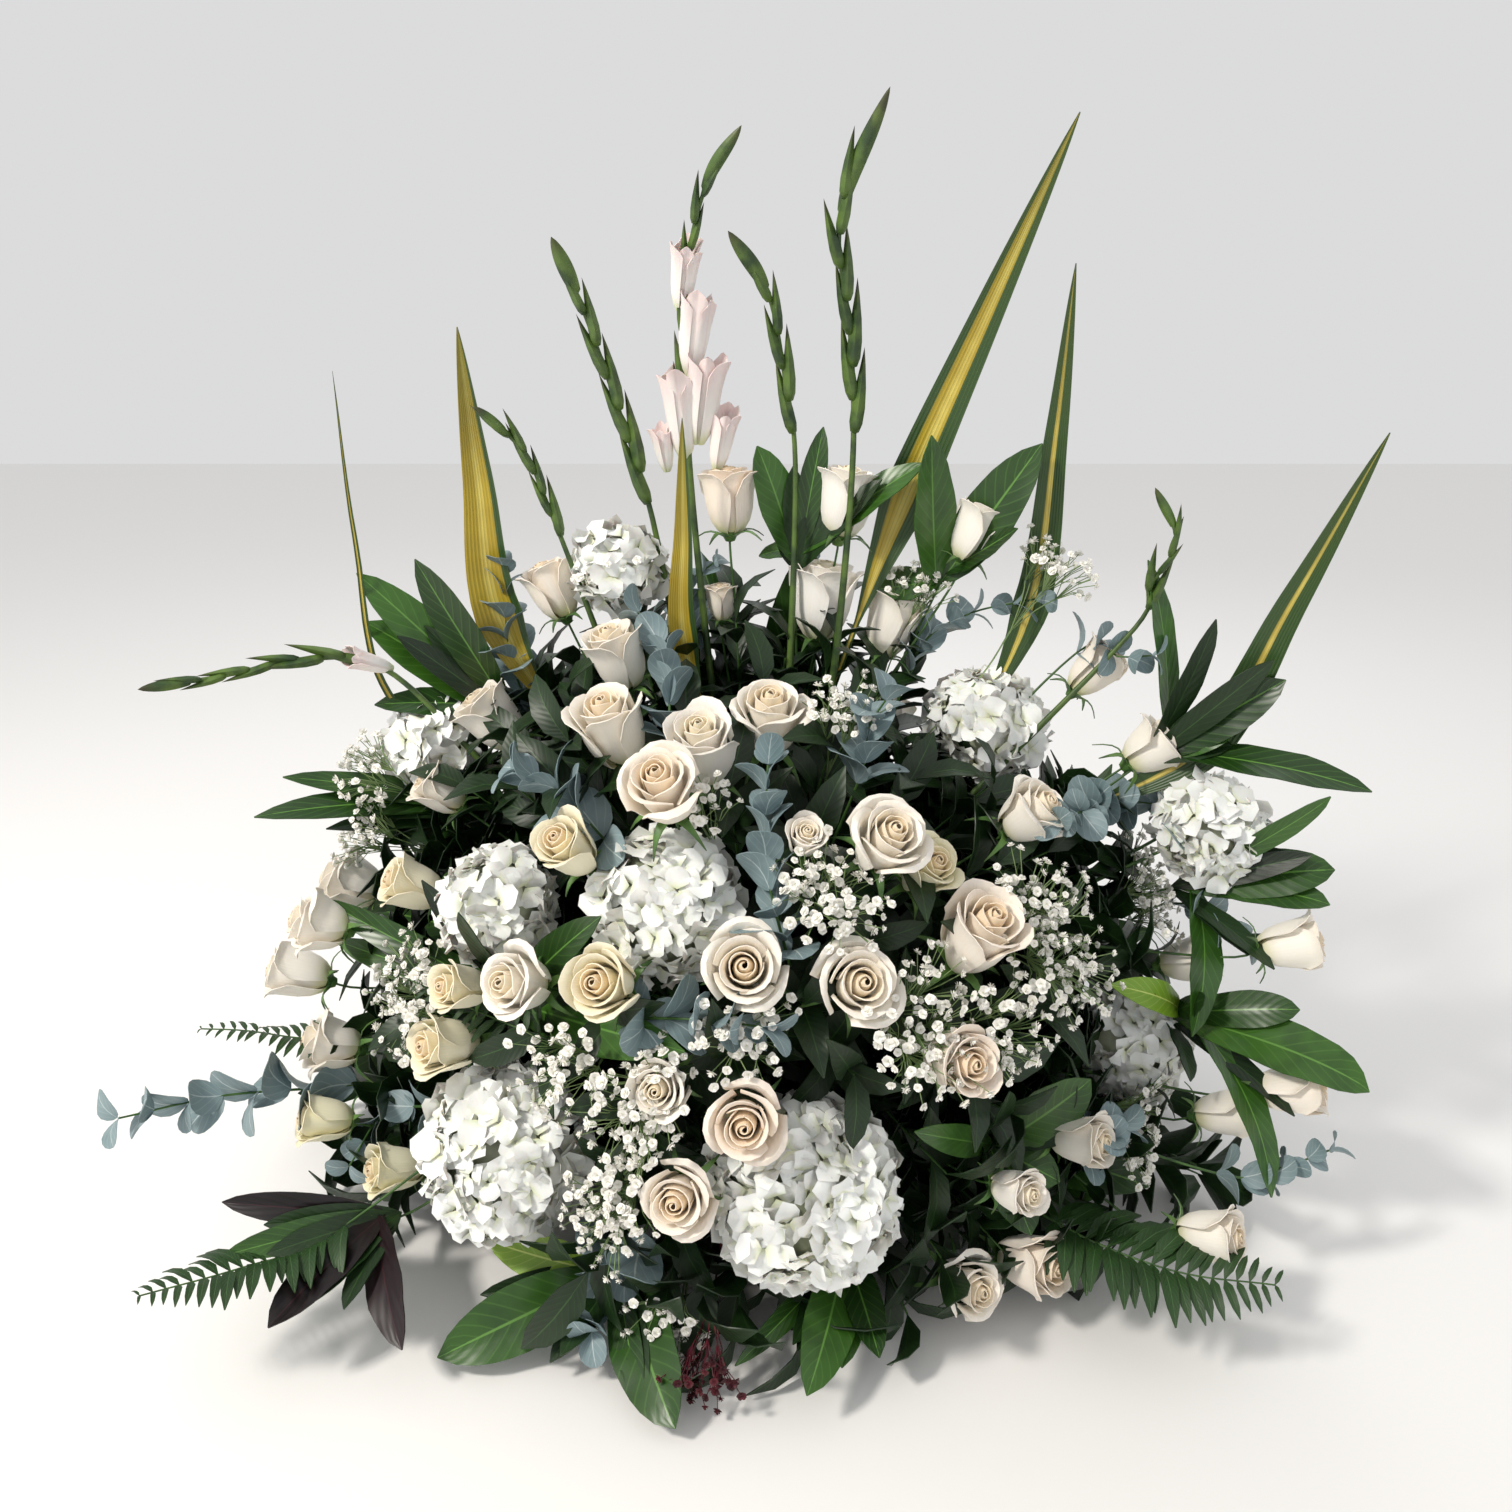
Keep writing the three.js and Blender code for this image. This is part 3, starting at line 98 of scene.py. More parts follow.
def sight(seen):
    """The direction in which the eye sees (across, down)."""
    right = (seen[0] - MIDDLE) / FOCAL
    down = (seen[1] - MIDDLE) / FOCAL
    forward = math.cos(PITCH) - math.sin(PITCH) * down
    return Vector((right, forward, -math.sin(PITCH) - math.cos(PITCH) * down)).normalized()


def place(seen, layer=1.0):
    """The point seen at (across, down) that lies on the face at a layer, or passes it closest."""
    line = sight(seen)
    last = (FLOOR - EYE.z) / line.z if line.z < 0 else math.inf
    best = EYE + line * MM
    for step in SEARCH:
        p = EYE + line * min(step * MM, last)
        if level(p) < level(best):
            best = p
        if level(p) <= layer or step * MM > last:
            break
    return best


def bearing(compass, height, layer=1.0):
    """The point on the face at a compass angle from the front and a height angle, in degrees."""
    turn, lift = math.radians(compass), math.radians(height)
    flat = math.cos(lift)
    way = Vector((math.sin(turn) * flat, -math.cos(turn) * flat, math.sin(lift)))
    return HUB + way * (layer / level(HUB + way))


def facing(point):
    """The way a bloom there faces: straight out, and never far down."""
    way = (point - HUB).normalized()
    way.z = max(way.z, LEAST_RISE)
    return way.normalized()


def across(a, b):
    return a.cross(b).normalized()


def side_of(way):
    return across(way, Vector((1, 0, 0)) if abs(way.z) > 0.9 else UP)


# %% [markdown]
# ## The camera and the light
# The arrangement is looked down on from 1.1 m in front. A lamp at the upper left gives the light its
# direction and its soft shade, a faint one opposite keeps the right side readable, and one behind parts the
# flowers from the pale floor. Sunlight would be simpler, but its shade is too hard for a room. The camera
# comes early, because every place above is read through it.

# %% Colours, nodes and the camera
SENSOR = 36.0
FRAME_WIDTH = 1512


def colour(text):
    """An sRGB hex colour, such as 'f0e2cd', in linear light."""
    parts = [int(text[i:i + 2], 16) / 255 for i in (0, 2, 4)]
    linear = [c / 12.92 if c <= 0.04045 else ((c + 0.055) / 1.055) ** 2.4 for c in parts]
    return (*linear, 1.0)


def result_of(node):
    """The socket that a node's result leaves by. A socket stands for itself."""
    if isinstance(node, bpy.types.NodeSocket):
        return node
    return next(socket for socket in node.outputs if socket.enabled)


def add(tree, kind, values=None, **settings):
    """Adds a node with its settings. values gives open sockets, by name or number, a constant, a socket
    to link to, or a node, whose result is linked. A list gives one socket several links."""
    node = tree.nodes.new(kind)
    for name, value in settings.items():
        setattr(node, name, value)
    sockets = [socket for socket in node.inputs if socket.enabled]
    for key, value in (values or {}).items():
        socket = sockets[key] if isinstance(key, int) else next(s for s in sockets if s.name == key)
        for one in value if isinstance(value, list) else [value]:
            if isinstance(one, (bpy.types.Node, bpy.types.NodeSocket)):
                tree.links.new(result_of(one), socket)
            else:
                socket.default_value = one
    return node


def link(thing):
    bpy.context.scene.collection.objects.link(thing)
    return thing


camera = link(bpy.data.objects.new("camera", bpy.data.cameras.new("camera")))
camera.location = EYE
camera.rotation_euler = (math.pi / 2 - PITCH, 0, 0)
camera.data.sensor_width = SENSOR
camera.data.lens = SENSOR * FOCAL / FRAME_WIDTH
bpy.context.scene.camera = camera
print("camera lens", round(camera.data.lens, 2), "mm")

# %% Lamps, surround and floor
CENTRE = Vector((0, 0, 0.4))
# Name, place, size in metres, power in watts, tint
LAMPS = [
    ("key", (-1.6, -1.2, 2.2), 0.35, 52, "fff9f0"),
    ("fill", (1.9, -1.6, 1.1), 1.6, 2, "e8eefa"),
    ("back", (0.5, 1.9, 2.0), 1.4, 8, "ffffff"),
]
SURROUND = 0.74
FLOOR_HALF = 6.0
for name, spot, size, power, tint in LAMPS:
    light = bpy.data.lights.new(name, "AREA")
    light.size = size
    light.energy = power
    light.color = colour(tint)[:3]
    holder = link(bpy.data.objects.new(name, light))
    holder.location = spot
    holder.rotation_euler = (CENTRE - Vector(spot)).to_track_quat("-Z", "Y").to_euler()
world = bpy.data.worlds.new("studio")
world.use_nodes = True
surround = world.node_tree.nodes["Background"]
surround.inputs["Color"].default_value = colour("fbfbfc")
surround.inputs["Strength"].default_value = SURROUND
bpy.context.scene.world = world
# Near-white petals stay near white in this view, where the usual one would turn them grey
bpy.context.scene.view_settings.view_transform = "Standard"

corners = [(x * FLOOR_HALF, y * FLOOR_HALF, 0) for x, y in ((-1, -1), (1, -1), (1, 1), (-1, 1))]
floor_mesh = bpy.data.meshes.new("floor")
floor_mesh.from_pydata(corners, [], [(0, 1, 2, 3)])
floor = link(bpy.data.objects.new("floor", floor_mesh))
paint = bpy.data.materials.new("matt_floor_paint")
paint.use_nodes = True
shader = paint.node_tree.nodes["Principled BSDF"]
shader.inputs["Base Color"].default_value = colour("f4f3f1")
shader.inputs["Roughness"].default_value = 0.9
floor_mesh.materials.append(paint)
print("lamps:", ", ".join(lamp[0] for lamp in LAMPS))

# %% [markdown]
# ## Surfaces of living things
# A petal is soft, matt and a little translucent, a waxed leaf has a grey bloom, and a laurel leaf is dark
# with a hard shine. The finishes read two attributes that all petals and leaves here carry: blade, which says
# how far across, how far along and how far in a point lies, and tone, one number for each leaf or bloom. A
# pattern made from them follows the leaf wherever it is bent to, which a pattern in space could not do. A
# finish is then built as a painter would: a ground colour, and coats over it that each cover one region.

# %% What every finish starts from, and how it is completed
def finish(name, roughness, **fixed):
    """A new material and its tree. fixed sets the shader's own sockets."""
    material = bpy.data.materials.new(name)
    material.use_nodes = True
    shader = material.node_tree.nodes["Principled BSDF"]
    shader.inputs["Roughness"].default_value = roughness
    for socket, value in fixed.items():
        shader.inputs[socket.replace("_", " ")].default_value = value
    return material, material.node_tree


def readings(tree):
    """What a pattern can read at a point: how far across, along and in it lies, and its tone."""
    blade = add(tree, "ShaderNodeAttribute", attribute_name="blade").outputs["Vector"]
    tone = add(tree, "ShaderNodeAttribute", attribute_name="tone").outputs["Fac"]
    return [*add(tree, "ShaderNodeSeparateXYZ", {"Vector": blade}).outputs, tone]


def coats(tree, ground, *layers):
    """Lays colours over a ground colour. Each layer is (reading, from, to, most, colour): as the reading
    goes from one number to the other, the colour covers from none to most of what is under it."""
    under = colour(ground) if isinstance(ground, str) else ground
    for reading, start, end, most, over in layers:
        share = add(tree, "ShaderNodeMapRange", {
            "Value": reading, "From Min": start, "From Max": end, "To Max": most,
        }, interpolation_type="SMOOTHSTEP")
        over = colour(over) if isinstance(over, str) else over
        under = add(tree, "ShaderNodeMix", {"Factor": share, "A": under, "B": over}, data_type="RGBA")
    return under


def mottle(tree, size, detail=2.0):
    """Cloudy patches of a real size, in metres."""
    where = add(tree, "ShaderNodeTexCoord").outputs["Object"]
    return add(tree, "ShaderNodeTexNoise", {"Vector": where, "Scale": 1 / size, "Detail": detail})


def dressed(material, cover, height=None, depth=0.0, strength=0.5):
    """Gives a material its colour, and a bump of a real depth in metres. Returns the material."""
    tree = material.node_tree
    shader = tree.nodes["Principled BSDF"]
    tree.links.new(result_of(cover), shader.inputs["Base Color"])
    if height:
        bump = add(tree, "ShaderNodeBump", {"Strength": strength, "Distance": depth, "Height": height})
        tree.links.new(result_of(bump), shader.inputs["Normal"])
    return material


# %% [markdown]
# ## Petals
# Garden roses of this kind are ivory with a warm heart, because the inner petals pass light to each other,
# and green-yellow at the foot of each petal. Their rims dry to a faint pink. The tone number moves a bloom
# from cool ivory over cream to peach and butter, as the real ones differ from stem to stem.

# %% Rose petal
PETAL_VEINS = 9.0


def rose_petal():
    """Soft ivory petal: matt, with light inside it, so shade between petals stays warm and never black."""
    material, tree = finish(
        "rose_petal", 0.55, Subsurface_Weight=0.12, Subsurface_Scale=0.004,
        Subsurface_Radius=(1.0, 0.7, 0.45), Sheen_Weight=0.15,
    )
    side, along, inward, tone = readings(tree)
    heart = coats(tree, "f8ecc6", (tone, 0.0, 0.7, 1.0, "f4d6a8"))
    stretched = add(tree, "ShaderNodeMath", {0: side, 1: PETAL_VEINS}, operation="MULTIPLY")
    veins = add(tree, "ShaderNodeCombineXYZ", {"X": stretched, "Y": along})
    lines = add(tree, "ShaderNodeTexNoise", {"Vector": veins, "Scale": 1.6, "Detail": 3.0})
    cover = coats(
        tree, "faf6ef",
        (tone, 0.0, 0.5, 1.0, "faf3e6"),
        (tone, 0.5, 0.7, 1.0, "f9ebdb"),
        (tone, 0.7, 0.85, 1.0, "f8f2d0"),
        (inward, 0.4, 1.0, 0.75, heart),
        (along, 0.4, 0.05, 1.0, "dbd8a2"),
        (lines, 0.35, 0.75, 0.1, "e0cdb0"),
        (along, 0.9, 1.0, 0.2, "f4e2d6"),
    )
    return dressed(material, cover, lines, 0.0006)


# %% Hydrangea sepal, baby's breath and gladiolus petal
def hydrangea_sepal():
    """Thin white sepal with a satin shine: whiter than the roses, green-cream at its foot, cloudy inside."""
    material, tree = finish("hydrangea_sepal", 0.42, Subsurface_Weight=0.08, Subsurface_Scale=0.003)
    _, along, _, tone = readings(tree)
    cover = coats(
        tree, "fafaf8",
        (tone, 0.2, 1.0, 1.0, "f1f0e8"),
        (along, 0.45, 0.0, 1.0, "dfe3b8"),
        (mottle(tree, 0.02), 0.45, 0.75, 0.4, "eceeea"),
    )
    return dressed(material, cover, mottle(tree, 0.003), 0.0005)


def small_floret():
    """The double floret of baby's breath: chalk white, grey-green where its petals meet."""
    material, tree = finish("babys_breath_floret", 0.7)
    _, along, _, tone = readings(tree)
    cover = coats(tree, "fdfcf9", (tone, 0.0, 1.0, 1.0, "f3f0e6"), (along, 0.4, 0.0, 1.0, "d9dcc2"))
    return dressed(material, cover)


def gladiolus_petal():
    """A gladiolus petal just out of its bract: blush white, pinker at its rim and along its middle."""
    material, tree = finish(
        "gladiolus_petal", 0.5, Subsurface_Weight=0.1, Subsurface_Scale=0.003, Sheen_Weight=0.1,
    )
    side, along, _, _ = readings(tree)
    middle = add(tree, "ShaderNodeMath", {0: side}, operation="ABSOLUTE")
    cover = coats(
        tree, "f6efea",
        (along, 0.4, 1.0, 1.0, "f1dfdc"),
        (along, 0.3, 0.0, 1.0, "cfd6a8"),
        (middle, 0.16, 0.0, 0.3, "e8c8ca"),
    )
    return dressed(material, cover, mottle(tree, 0.004), 0.0005)


# %% [markdown]
# ## Leaves
# One recipe serves every leaf: a paler midrib, side veins that run forward at a slant, mottling, and a
# choice of shine. A wave of the along value shifted by the across value draws the slanting veins in pairs.
# An image of a leaf would show every vein, but it would look the same on each of thousands of leaves. The
# stripes of the sword leaf are a map of the across value alone.

# %% Leaf finishes
VEIN_SLANT = 2.2


def leaf_blade(name, young, old, vein, roughness, veins=11.0, rib=0.06, **fixed):
    """A leaf with a midrib and slanting veins, between a young and an old colour by its tone."""
    material, tree = finish(name, roughness, **fixed)
    side, along, _, tone = readings(tree)
    middle = add(tree, "ShaderNodeMath", {0: side}, operation="ABSOLUTE")
    forward = add(tree, "ShaderNodeMath", {0: along, 1: veins}, operation="MULTIPLY")
    outward = add(tree, "ShaderNodeMath", {0: middle, 1: VEIN_SLANT}, operation="MULTIPLY")
    slant = add(tree, "ShaderNodeMath", {0: forward, 1: outward}, operation="SUBTRACT")
    angle = add(tree, "ShaderNodeMath", {0: slant, 1: 2 * math.pi}, operation="MULTIPLY")
    wave = add(tree, "ShaderNodeMath", {0: angle}, operation="SINE")
    ages = {"Factor": tone, "A": colour(young), "B": colour(old)}
    cover = coats(
        tree, add(tree, "ShaderNodeMix", ages, data_type="RGBA"),
        (mottle(tree, 0.03, 4.0), 0.4, 0.7, 0.45, old),
        (wave, 0.82, 1.0, 0.22, vein),
        (middle, rib, rib * 0.3, 1.0, vein),
    )
    swell = add(tree, "ShaderNodeMath", {0: wave, 1: 0.5}, operation="MULTIPLY")
    keel = add(tree, "ShaderNodeMapRange", {
        "Value": middle, "From Max": 0.2,
    }, interpolation_type="SMOOTHSTEP")
    height = add(tree, "ShaderNodeMath", {0: swell, 1: keel}, operation="ADD")
    return dressed(material, cover, height, 0.0003, 0.3)


def sword_leaf():
    """A striped sword leaf: cream and yellow in the middle, green margins that are broader at a low tone, and
    broader still on one side as painted shade.
    """
    material, tree = finish("sword_leaf", 0.42)
    side, along, _, tone = readings(tree)
    middle = add(tree, "ShaderNodeMath", {0: side}, operation="ABSOLUTE")
    # The green margin is made broader on one side of the blade: painted shade along that side
    shade_shift = add(tree, "ShaderNodeMath", {0: side, 1: 0.25}, operation="MULTIPLY")
    leaning_to_shade = add(tree, "ShaderNodeMath", {0: middle, 1: shade_shift}, operation="ADD")
    gold_width = add(tree, "ShaderNodeMapRange", {
        "Value": tone, "To Min": 0.1, "To Max": 0.85,
    }, interpolation_type="SMOOTHSTEP")
    past_gold = add(tree, "ShaderNodeMath", {0: leaning_to_shade, 1: gold_width}, operation="SUBTRACT")
    ribs = add(tree, "ShaderNodeMath", {0: side, 1: 34.0}, operation="MULTIPLY")
    lines = add(tree, "ShaderNodeMath", {0: ribs}, operation="SINE")
    cover = coats(
        tree, "dcc964",
        (middle, 0.05, 0.35, 1.0, "b9a02a"),
        (mottle(tree, 0.05), 0.35, 0.7, 0.5, "a08524"),
        (past_gold, -0.05, 0.05, 1.0, "2c4a1e"),
        (lines, 0.6, 1.0, 0.35, "55662a"),
        (along, 0.75, 1.0, 0.55, "41531f"),
    )
    return dressed(material, cover, lines, 0.0003, 0.4)


def plain_green(name, light, dark, roughness, dull="2f3a20"):
    """A stalk or a bract: one green, a darker one in patches, a fine grain in its skin, and a dull tip."""
    material, tree = finish(name, roughness)
    along = readings(tree)[1]
    cover = coats(tree, light, (mottle(tree, 0.02, 3.0), 0.35, 0.7, 1.0, dark), (along, 0.6, 1.0, 0.6, dull))
    return dressed(material, cover, mottle(tree, 0.004), 0.0004)


# %% [markdown]
# ## What the flowers stand in
# Florist's foam is a dark green open-cell phenolic foam: dead matt, with pores of about half a millimetre,
# drawn here at 2 mm with painted shade in their pits, so that they show. The tray is moulded polypropylene
# with a soft shine and a pebbled skin. Both are almost hidden, and both keep the solids of the frame.

# %% Foam and tray, and the table of all finishes
FOAM_CELL = 0.002


def wet_foam():
    """Open cells: pits painted darker as shade, with lighter walls, and no shine at all."""
    material, tree = finish("wet_florists_foam", 0.95)
    where = add(tree, "ShaderNodeTexCoord").outputs["Object"]
    cells = add(tree, "ShaderNodeTexVoronoi", {"Vector": where, "Scale": 1 / FOAM_CELL})
    # The dark ground in the pits of the cells is painted shade, and the lighter walls are the foam's own
    # green
    return dressed(material, coats(tree, "16301f", (cells, 0.1, 0.7, 1.0, "2f5a3c")), cells, 0.001, 0.8)


def moulded_tray():
    """Moulded polypropylene: an even dark green with a low broad shine."""
    material, tree = finish("moulded_polypropylene", 0.42)
    cover = coats(tree, "1a3023", (mottle(tree, 0.012, 3.0), 0.3, 0.7, 1.0, "22402d"))
    return dressed(material, cover, mottle(tree, 0.0012), 0.0002, 0.4)


FINISH = {
    "rose": rose_petal(),
    "hydrangea": hydrangea_sepal(),
    "floret": small_floret(),
    "gladiolus": gladiolus_petal(),
    # Hard and dark with a broad highlight, as if polished
    "glossy": leaf_blade(
        "glossy_laurel_leaf", "37611a", "17330e", "5c8a3a", 0.34, Coat_Weight=0.1, Coat_Roughness=0.3,
    ),
    # Nearly black in the shade, with a dull sheen
    "filler": leaf_blade("dark_filler_leaf", "1b3810", "0b1c0a", "2f4f22", 0.45),
    # Fresh yellow-green that stands out from the laurel
    "lime": leaf_blade("lime_young_leaf", "8fb02c", "6c9425", "c2d46e", 0.35),
    # Wine-dark, with only a hint of red along its veins
    "plum": leaf_blade("plum_cordyline_leaf", "1e0b10", "0d0609", "33141b", 0.4, veins=5.0),
    # Grey-blue and chalky, because wax covers the green
    "eucalyptus": leaf_blade(
        "waxed_eucalyptus_leaf", "98a9ae", "5f777a", "b6c4c4", 0.55, veins=5.0, rib=0.05,
    ),
    "fern": leaf_blade("fern_leaflet", "2c501c", "142d10", "48693a", 0.5, veins=9.0),
    "sword": sword_leaf(),
    "bract": plain_green("gladiolus_bract", "56702f", "2a4220", 0.45, "3c241e"),
    # The ball under the florets: pale green-grey for the real stalklets, and partly painted shade in the gaps
    # between florets
    "core": plain_green("hydrangea_stalklets", "c8cdb4", "9da78a", 0.7),
    "stem": plain_green("cut_stem", "466b2e", "2c4c20", 0.5),
    "twig": plain_green("wiry_twig", "7f9560", "5f7a48", 0.6),
    "calyx": plain_green("rose_calyx", "5f8440", "3e6330", 0.5),
    # Dried florets: dull wine red, without any green left
    "berry": plain_green("dried_burgundy_floret", "6a1c2c", "32101a", 0.65),
    "foam": wet_foam(),
    "tray": moulded_tray(),
}
for node in ("foam", "tray"):
    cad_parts[node].material_slots[0].material = FINISH[node]
print("finishes:", ", ".join(FINISH))

# %% [markdown]
# ## Thin closed sheets
# Petals and leaves are sheets, but a real sheet has two faces and a rim, and a mesh without them shows holes
# when it is looked at from behind. So each one is a grid of points that is thickened both ways along its own
# normal and stitched round the rim. A Skin gathers many such patches and makes them one mesh.

# %% A thickened patch
def shell(grid, thickness):
    """A closed thin sheet from a grid of points [across, along, xyz]: its points and its faces."""
    n, m = grid.shape[:2]
    normal = np.cross(np.gradient(grid, axis=0), np.gradient(grid, axis=1))
    normal /= np.linalg.norm(normal, axis=2, keepdims=True) + 1e-12
    front = (grid + normal * thickness / 2).reshape(-1, 3)
    back = (grid - normal * thickness / 2).reshape(-1, 3)
    number = np.arange(n * m).reshape(n, m)
    quads = np.stack([number[:-1, :-1], number[1:, :-1], number[1:, 1:], number[:-1, 1:]], -1).reshape(-1, 4)
    rim = np.concatenate([number[:, 0], number[-1, 1:], number[-2::-1, -1], number[0, -2:0:-1]])
    after = np.roll(rim, -1)
    count = n * m
    edge = np.stack([after, rim, rim + count, after + count], -1)
    return np.concatenate([front, back]), np.concatenate([quads, quads[:, ::-1] + count, edge]).tolist()


def blade_marks(n, m, inner=0.0):
    """The blade attribute of a shell: across from -1 to 1, along from 0 to 1, and how far in it lies."""
    u, v = np.meshgrid(np.linspace(-1, 1, n), np.linspace(0, 1, m), indexing="ij")
    marks = np.stack([u, v, np.full_like(u, inner)], -1).reshape(-1, 3)
    return np.concatenate([marks, marks])


print("a petal of 9 by 8 points has", len(shell(np.ones((9, 8, 3)), 0.1)[1]), "faces")

# %% The mesh that gathers patches
RIM_ANGLE = math.radians(74)


class Skin:
    """Gathers closed patches into one mesh that is smooth but for the rims of its sheets."""

    def __init__(self):
        self.points, self.faces, self.marks, self.tones, self.looks = [], [], [], [], []
        self.count = 0

    def add(self, points, faces, marks, look, tone=0.5):
        self.points.append(points)
        self.faces += [[corner + self.count for corner in face] for face in faces]
        self.marks.append(marks)
        self.tones.append(np.full(len(points), tone))
        self.looks += [look] * len(faces)
        self.count += len(points)

    def mesh(self, name):
        made = bpy.data.meshes.new(name)
        made.from_pydata(np.concatenate(self.points), [], self.faces)
        used = sorted(set(self.looks))
        for look in used:
            made.materials.append(FINISH[look])
        made.polygons.foreach_set("material_index", [used.index(look) for look in self.looks])
        made.polygons.foreach_set("use_smooth", [True] * len(made.polygons))
        made.set_sharp_from_angle(angle=RIM_ANGLE)
        blade = made.attributes.new("blade", "FLOAT_VECTOR", "POINT")
        blade.data.foreach_set("vector", np.concatenate(self.marks).astype(np.float32).ravel())
        tone = made.attributes.new("tone", "FLOAT", "POINT")
        tone.data.foreach_set("value", np.concatenate(self.tones).astype(np.float32))
        return made

    def piece(self, name):
        return link(bpy.data.objects.new(name, self.mesh(name)))


# %% Round bodies, smooth lines and the grid of a leaf
def spun(profile, sides, bend=0.0, flat=1.0):
    """A closed spindle along +X from [(along, radius), ...], whose first and last radius are 0."""
    along = np.array([p[0] for p in profile])
    radius = np.array([p[1] for p in profile])
    turn = np.arange(sides) * 2 * math.pi / sides
    rings = [[along[0], 0, 0]]
    for x, r in zip(along[1:-1], radius[1:-1]):
        rings += [[x, r * math.cos(t), r * math.sin(t) * flat] for t in turn]
    rings.append([along[-1], 0, 0])
    points = np.array(rings, float)
    points[:, 2] += bend * points[:, 0] ** 2
    top = len(profile) - 3
    faces = []

    def corner(ring, i):
        return 1 + ring * sides + i % sides

    for i in range(sides):
        faces.append([0, corner(0, i + 1), corner(0, i)])
        for r in range(top):
            faces.append([corner(r, i), corner(r, i + 1), corner(r + 1, i + 1), corner(r + 1, i)])
        faces.append([len(points) - 1, corner(top, i), corner(top, i + 1)])
    share = (points[:, 0] - along[0]) / (along[-1] - along[0])
    marks = np.stack([np.zeros(len(points)), share, np.zeros(len(points))], -1)
    return points, faces, marks


def stood(points, base, way):
    """Stands points made along +Z on a base, facing a way."""
    z = np.array(way)
    x = np.array(side_of(way))
    y = np.cross(z, x)
    return np.array(base) + (points[:, :1] * x + points[:, 1:2] * y + points[:, 2:3] * z)


def turned_about(points, turn):
    """Points turned about +Z."""
    c, s = math.cos(turn), math.sin(turn)
    x, y, z = points.T
    return np.stack([x * c - y * s, x * s + y * c, z], -1)


def eased(points, steps):
    """A smooth line through points, with a number of steps between each two."""
    points = [Vector(p) for p in points]
    ends = [2 * points[0] - points[1], *points, 2 * points[-1] - points[-2]]
    line = []
    for i in range(1, len(ends) - 2):
        a, b, c, d = ends[i - 1:i + 3]
        for k in range(steps):
            t = k / steps
            bend, twist = 2 * a - 5 * b + 4 * c - d, 3 * b - a - 3 * c + d
            line.append(0.5 * (2 * b + (c - a) * t + bend * t * t + twist * t ** 3))
    return line + [points[-1]]


# Waves of an edge along its leaf
WAVES = 3


def blade_grid(line, halves, face, fold, wave=0.0, phase=0.0, columns=5):
    """The grid of a leaf along a line: folded up from its midrib, with edges that may wave."""
    line = np.array([tuple(p) for p in line])
    way = np.gradient(line, axis=0)
    way /= np.linalg.norm(way, axis=1, keepdims=True)
    side = np.cross(way, np.array(face))
    side /= np.linalg.norm(side, axis=1, keepdims=True)
    normal = np.cross(side, way)
    grid = np.zeros((columns, len(line), 3))
    t = np.linspace(0, 1, len(line))
    for i, u in enumerate(np.linspace(-1, 1, columns)):
        ripple = wave * u * u * np.sin(2 * math.pi * WAVES * t + phase + u)
        lift = (fold * abs(u) + ripple) * halves
        grid[i] = line + side * (u * halves)[:, None] + normal * lift[:, None]
    return grid


def lance(t, blunt, fine):
    """Half-widths of a lance-shaped leaf, 1 at its widest. Low powers give a blunt foot and a full tip."""
    shape = t ** blunt * (1 - t) ** fine
    return shape / shape.max()


print("widest part of a lance leaf:", round(lance(np.linspace(0, 1, 101), 0.75, 0.75).argmax() / 100, 2))

# %% [markdown]
# ## Where the frame's solids really lie
# In the solid model, stems and leaves were moved a little aside until each had its own way. A fine leaf
# that replaces a solid one has to lie there too, so the frame is asked: the nearest corner of the node to
# where a tip was aimed is where that tip ended.

# %% Seats on the frame
seats = {}


def seat(node, point, reach=0.06, count=1):
    """The middle of a node's corners that lie nearest to a point, or the point if they lie further off."""
    if node not in seats:
        own = {tuple(round(c, 5) for c in corner.co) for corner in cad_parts[node].data.vertices}
        seats[node] = KDTree(len(own))
        for i, corner in enumerate(sorted(own)):
            seats[node].insert(corner, i)
        seats[node].balance()
    found = [co for co, _, _ in seats[node].find_n(point, count)]
    middle = sum(found, Vector()) / len(found)
    return middle if (middle - point).length < reach else Vector(point)


# Metres from the hub to where a cut stem ends in the foam, and from the foam's face to where stems part
STEM_END = 0.042
FORK = 0.014
SMALL = 1e-6
foam_low, foam_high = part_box("foam")


def trunk(node, corners=3):
    """The straight start of a bunch's stems, from inside the foam to where they part."""
    way = (seat(node, HUB, 1.0, corners) - HUB).normalized()
    reach = min(
        foam_high.x / max(abs(way.x), SMALL),
        foam_high.y / max(abs(way.y), SMALL),
        ((foam_high.z if way.z > 0 else foam_low.z) - HUB.z) / (way.z or SMALL),
    )
    return [HUB + way * STEM_END, HUB + way * (reach + FORK)]


def length_of(line):
    return sum((b - a).length for a, b in zip(line, line[1:]))


def even(line, step):
    """The same line with its points at even steps."""
    total = length_of(line)
    count = max(2, round(total / step))
    points, i, gone = [line[0]], 0, 0.0
    for k in range(1, count):
        wanted = total * k / count
        while gone + (line[i + 1] - line[i]).length < wanted:
            gone += (line[i + 1] - line[i]).length
            i += 1
        points.append(line[i].lerp(line[i + 1], (wanted - gone) / (line[i + 1] - line[i]).length))
    return [*points, line[-1]]


STEP = 0.010
EASING = 6
# How far a stem bows outward between the foam and its first target, as a share of that distance
BOW = 0.05


def route(node, targets, corners=3):
    """A smooth line from the foam through a stem's targets, and the share of it that lies before them."""
    start = trunk(node, corners)
    outward = (start[1] - start[0]).normalized()
    bow = (start[1] + targets[0]) / 2 + outward * BOW * (targets[0] - start[1]).length
    before = [*start, bow]
    line = eased([*before, *targets], EASING)
    shown = length_of(line[len(before) * EASING:])
    return even(line, STEP), 1 - shown / length_of(line)


first_stem, _ = route("roses_01", [place((728, 500))])
print("a stem from the foam to the first rose:", round(length_of(first_stem) * 1000), "mm")

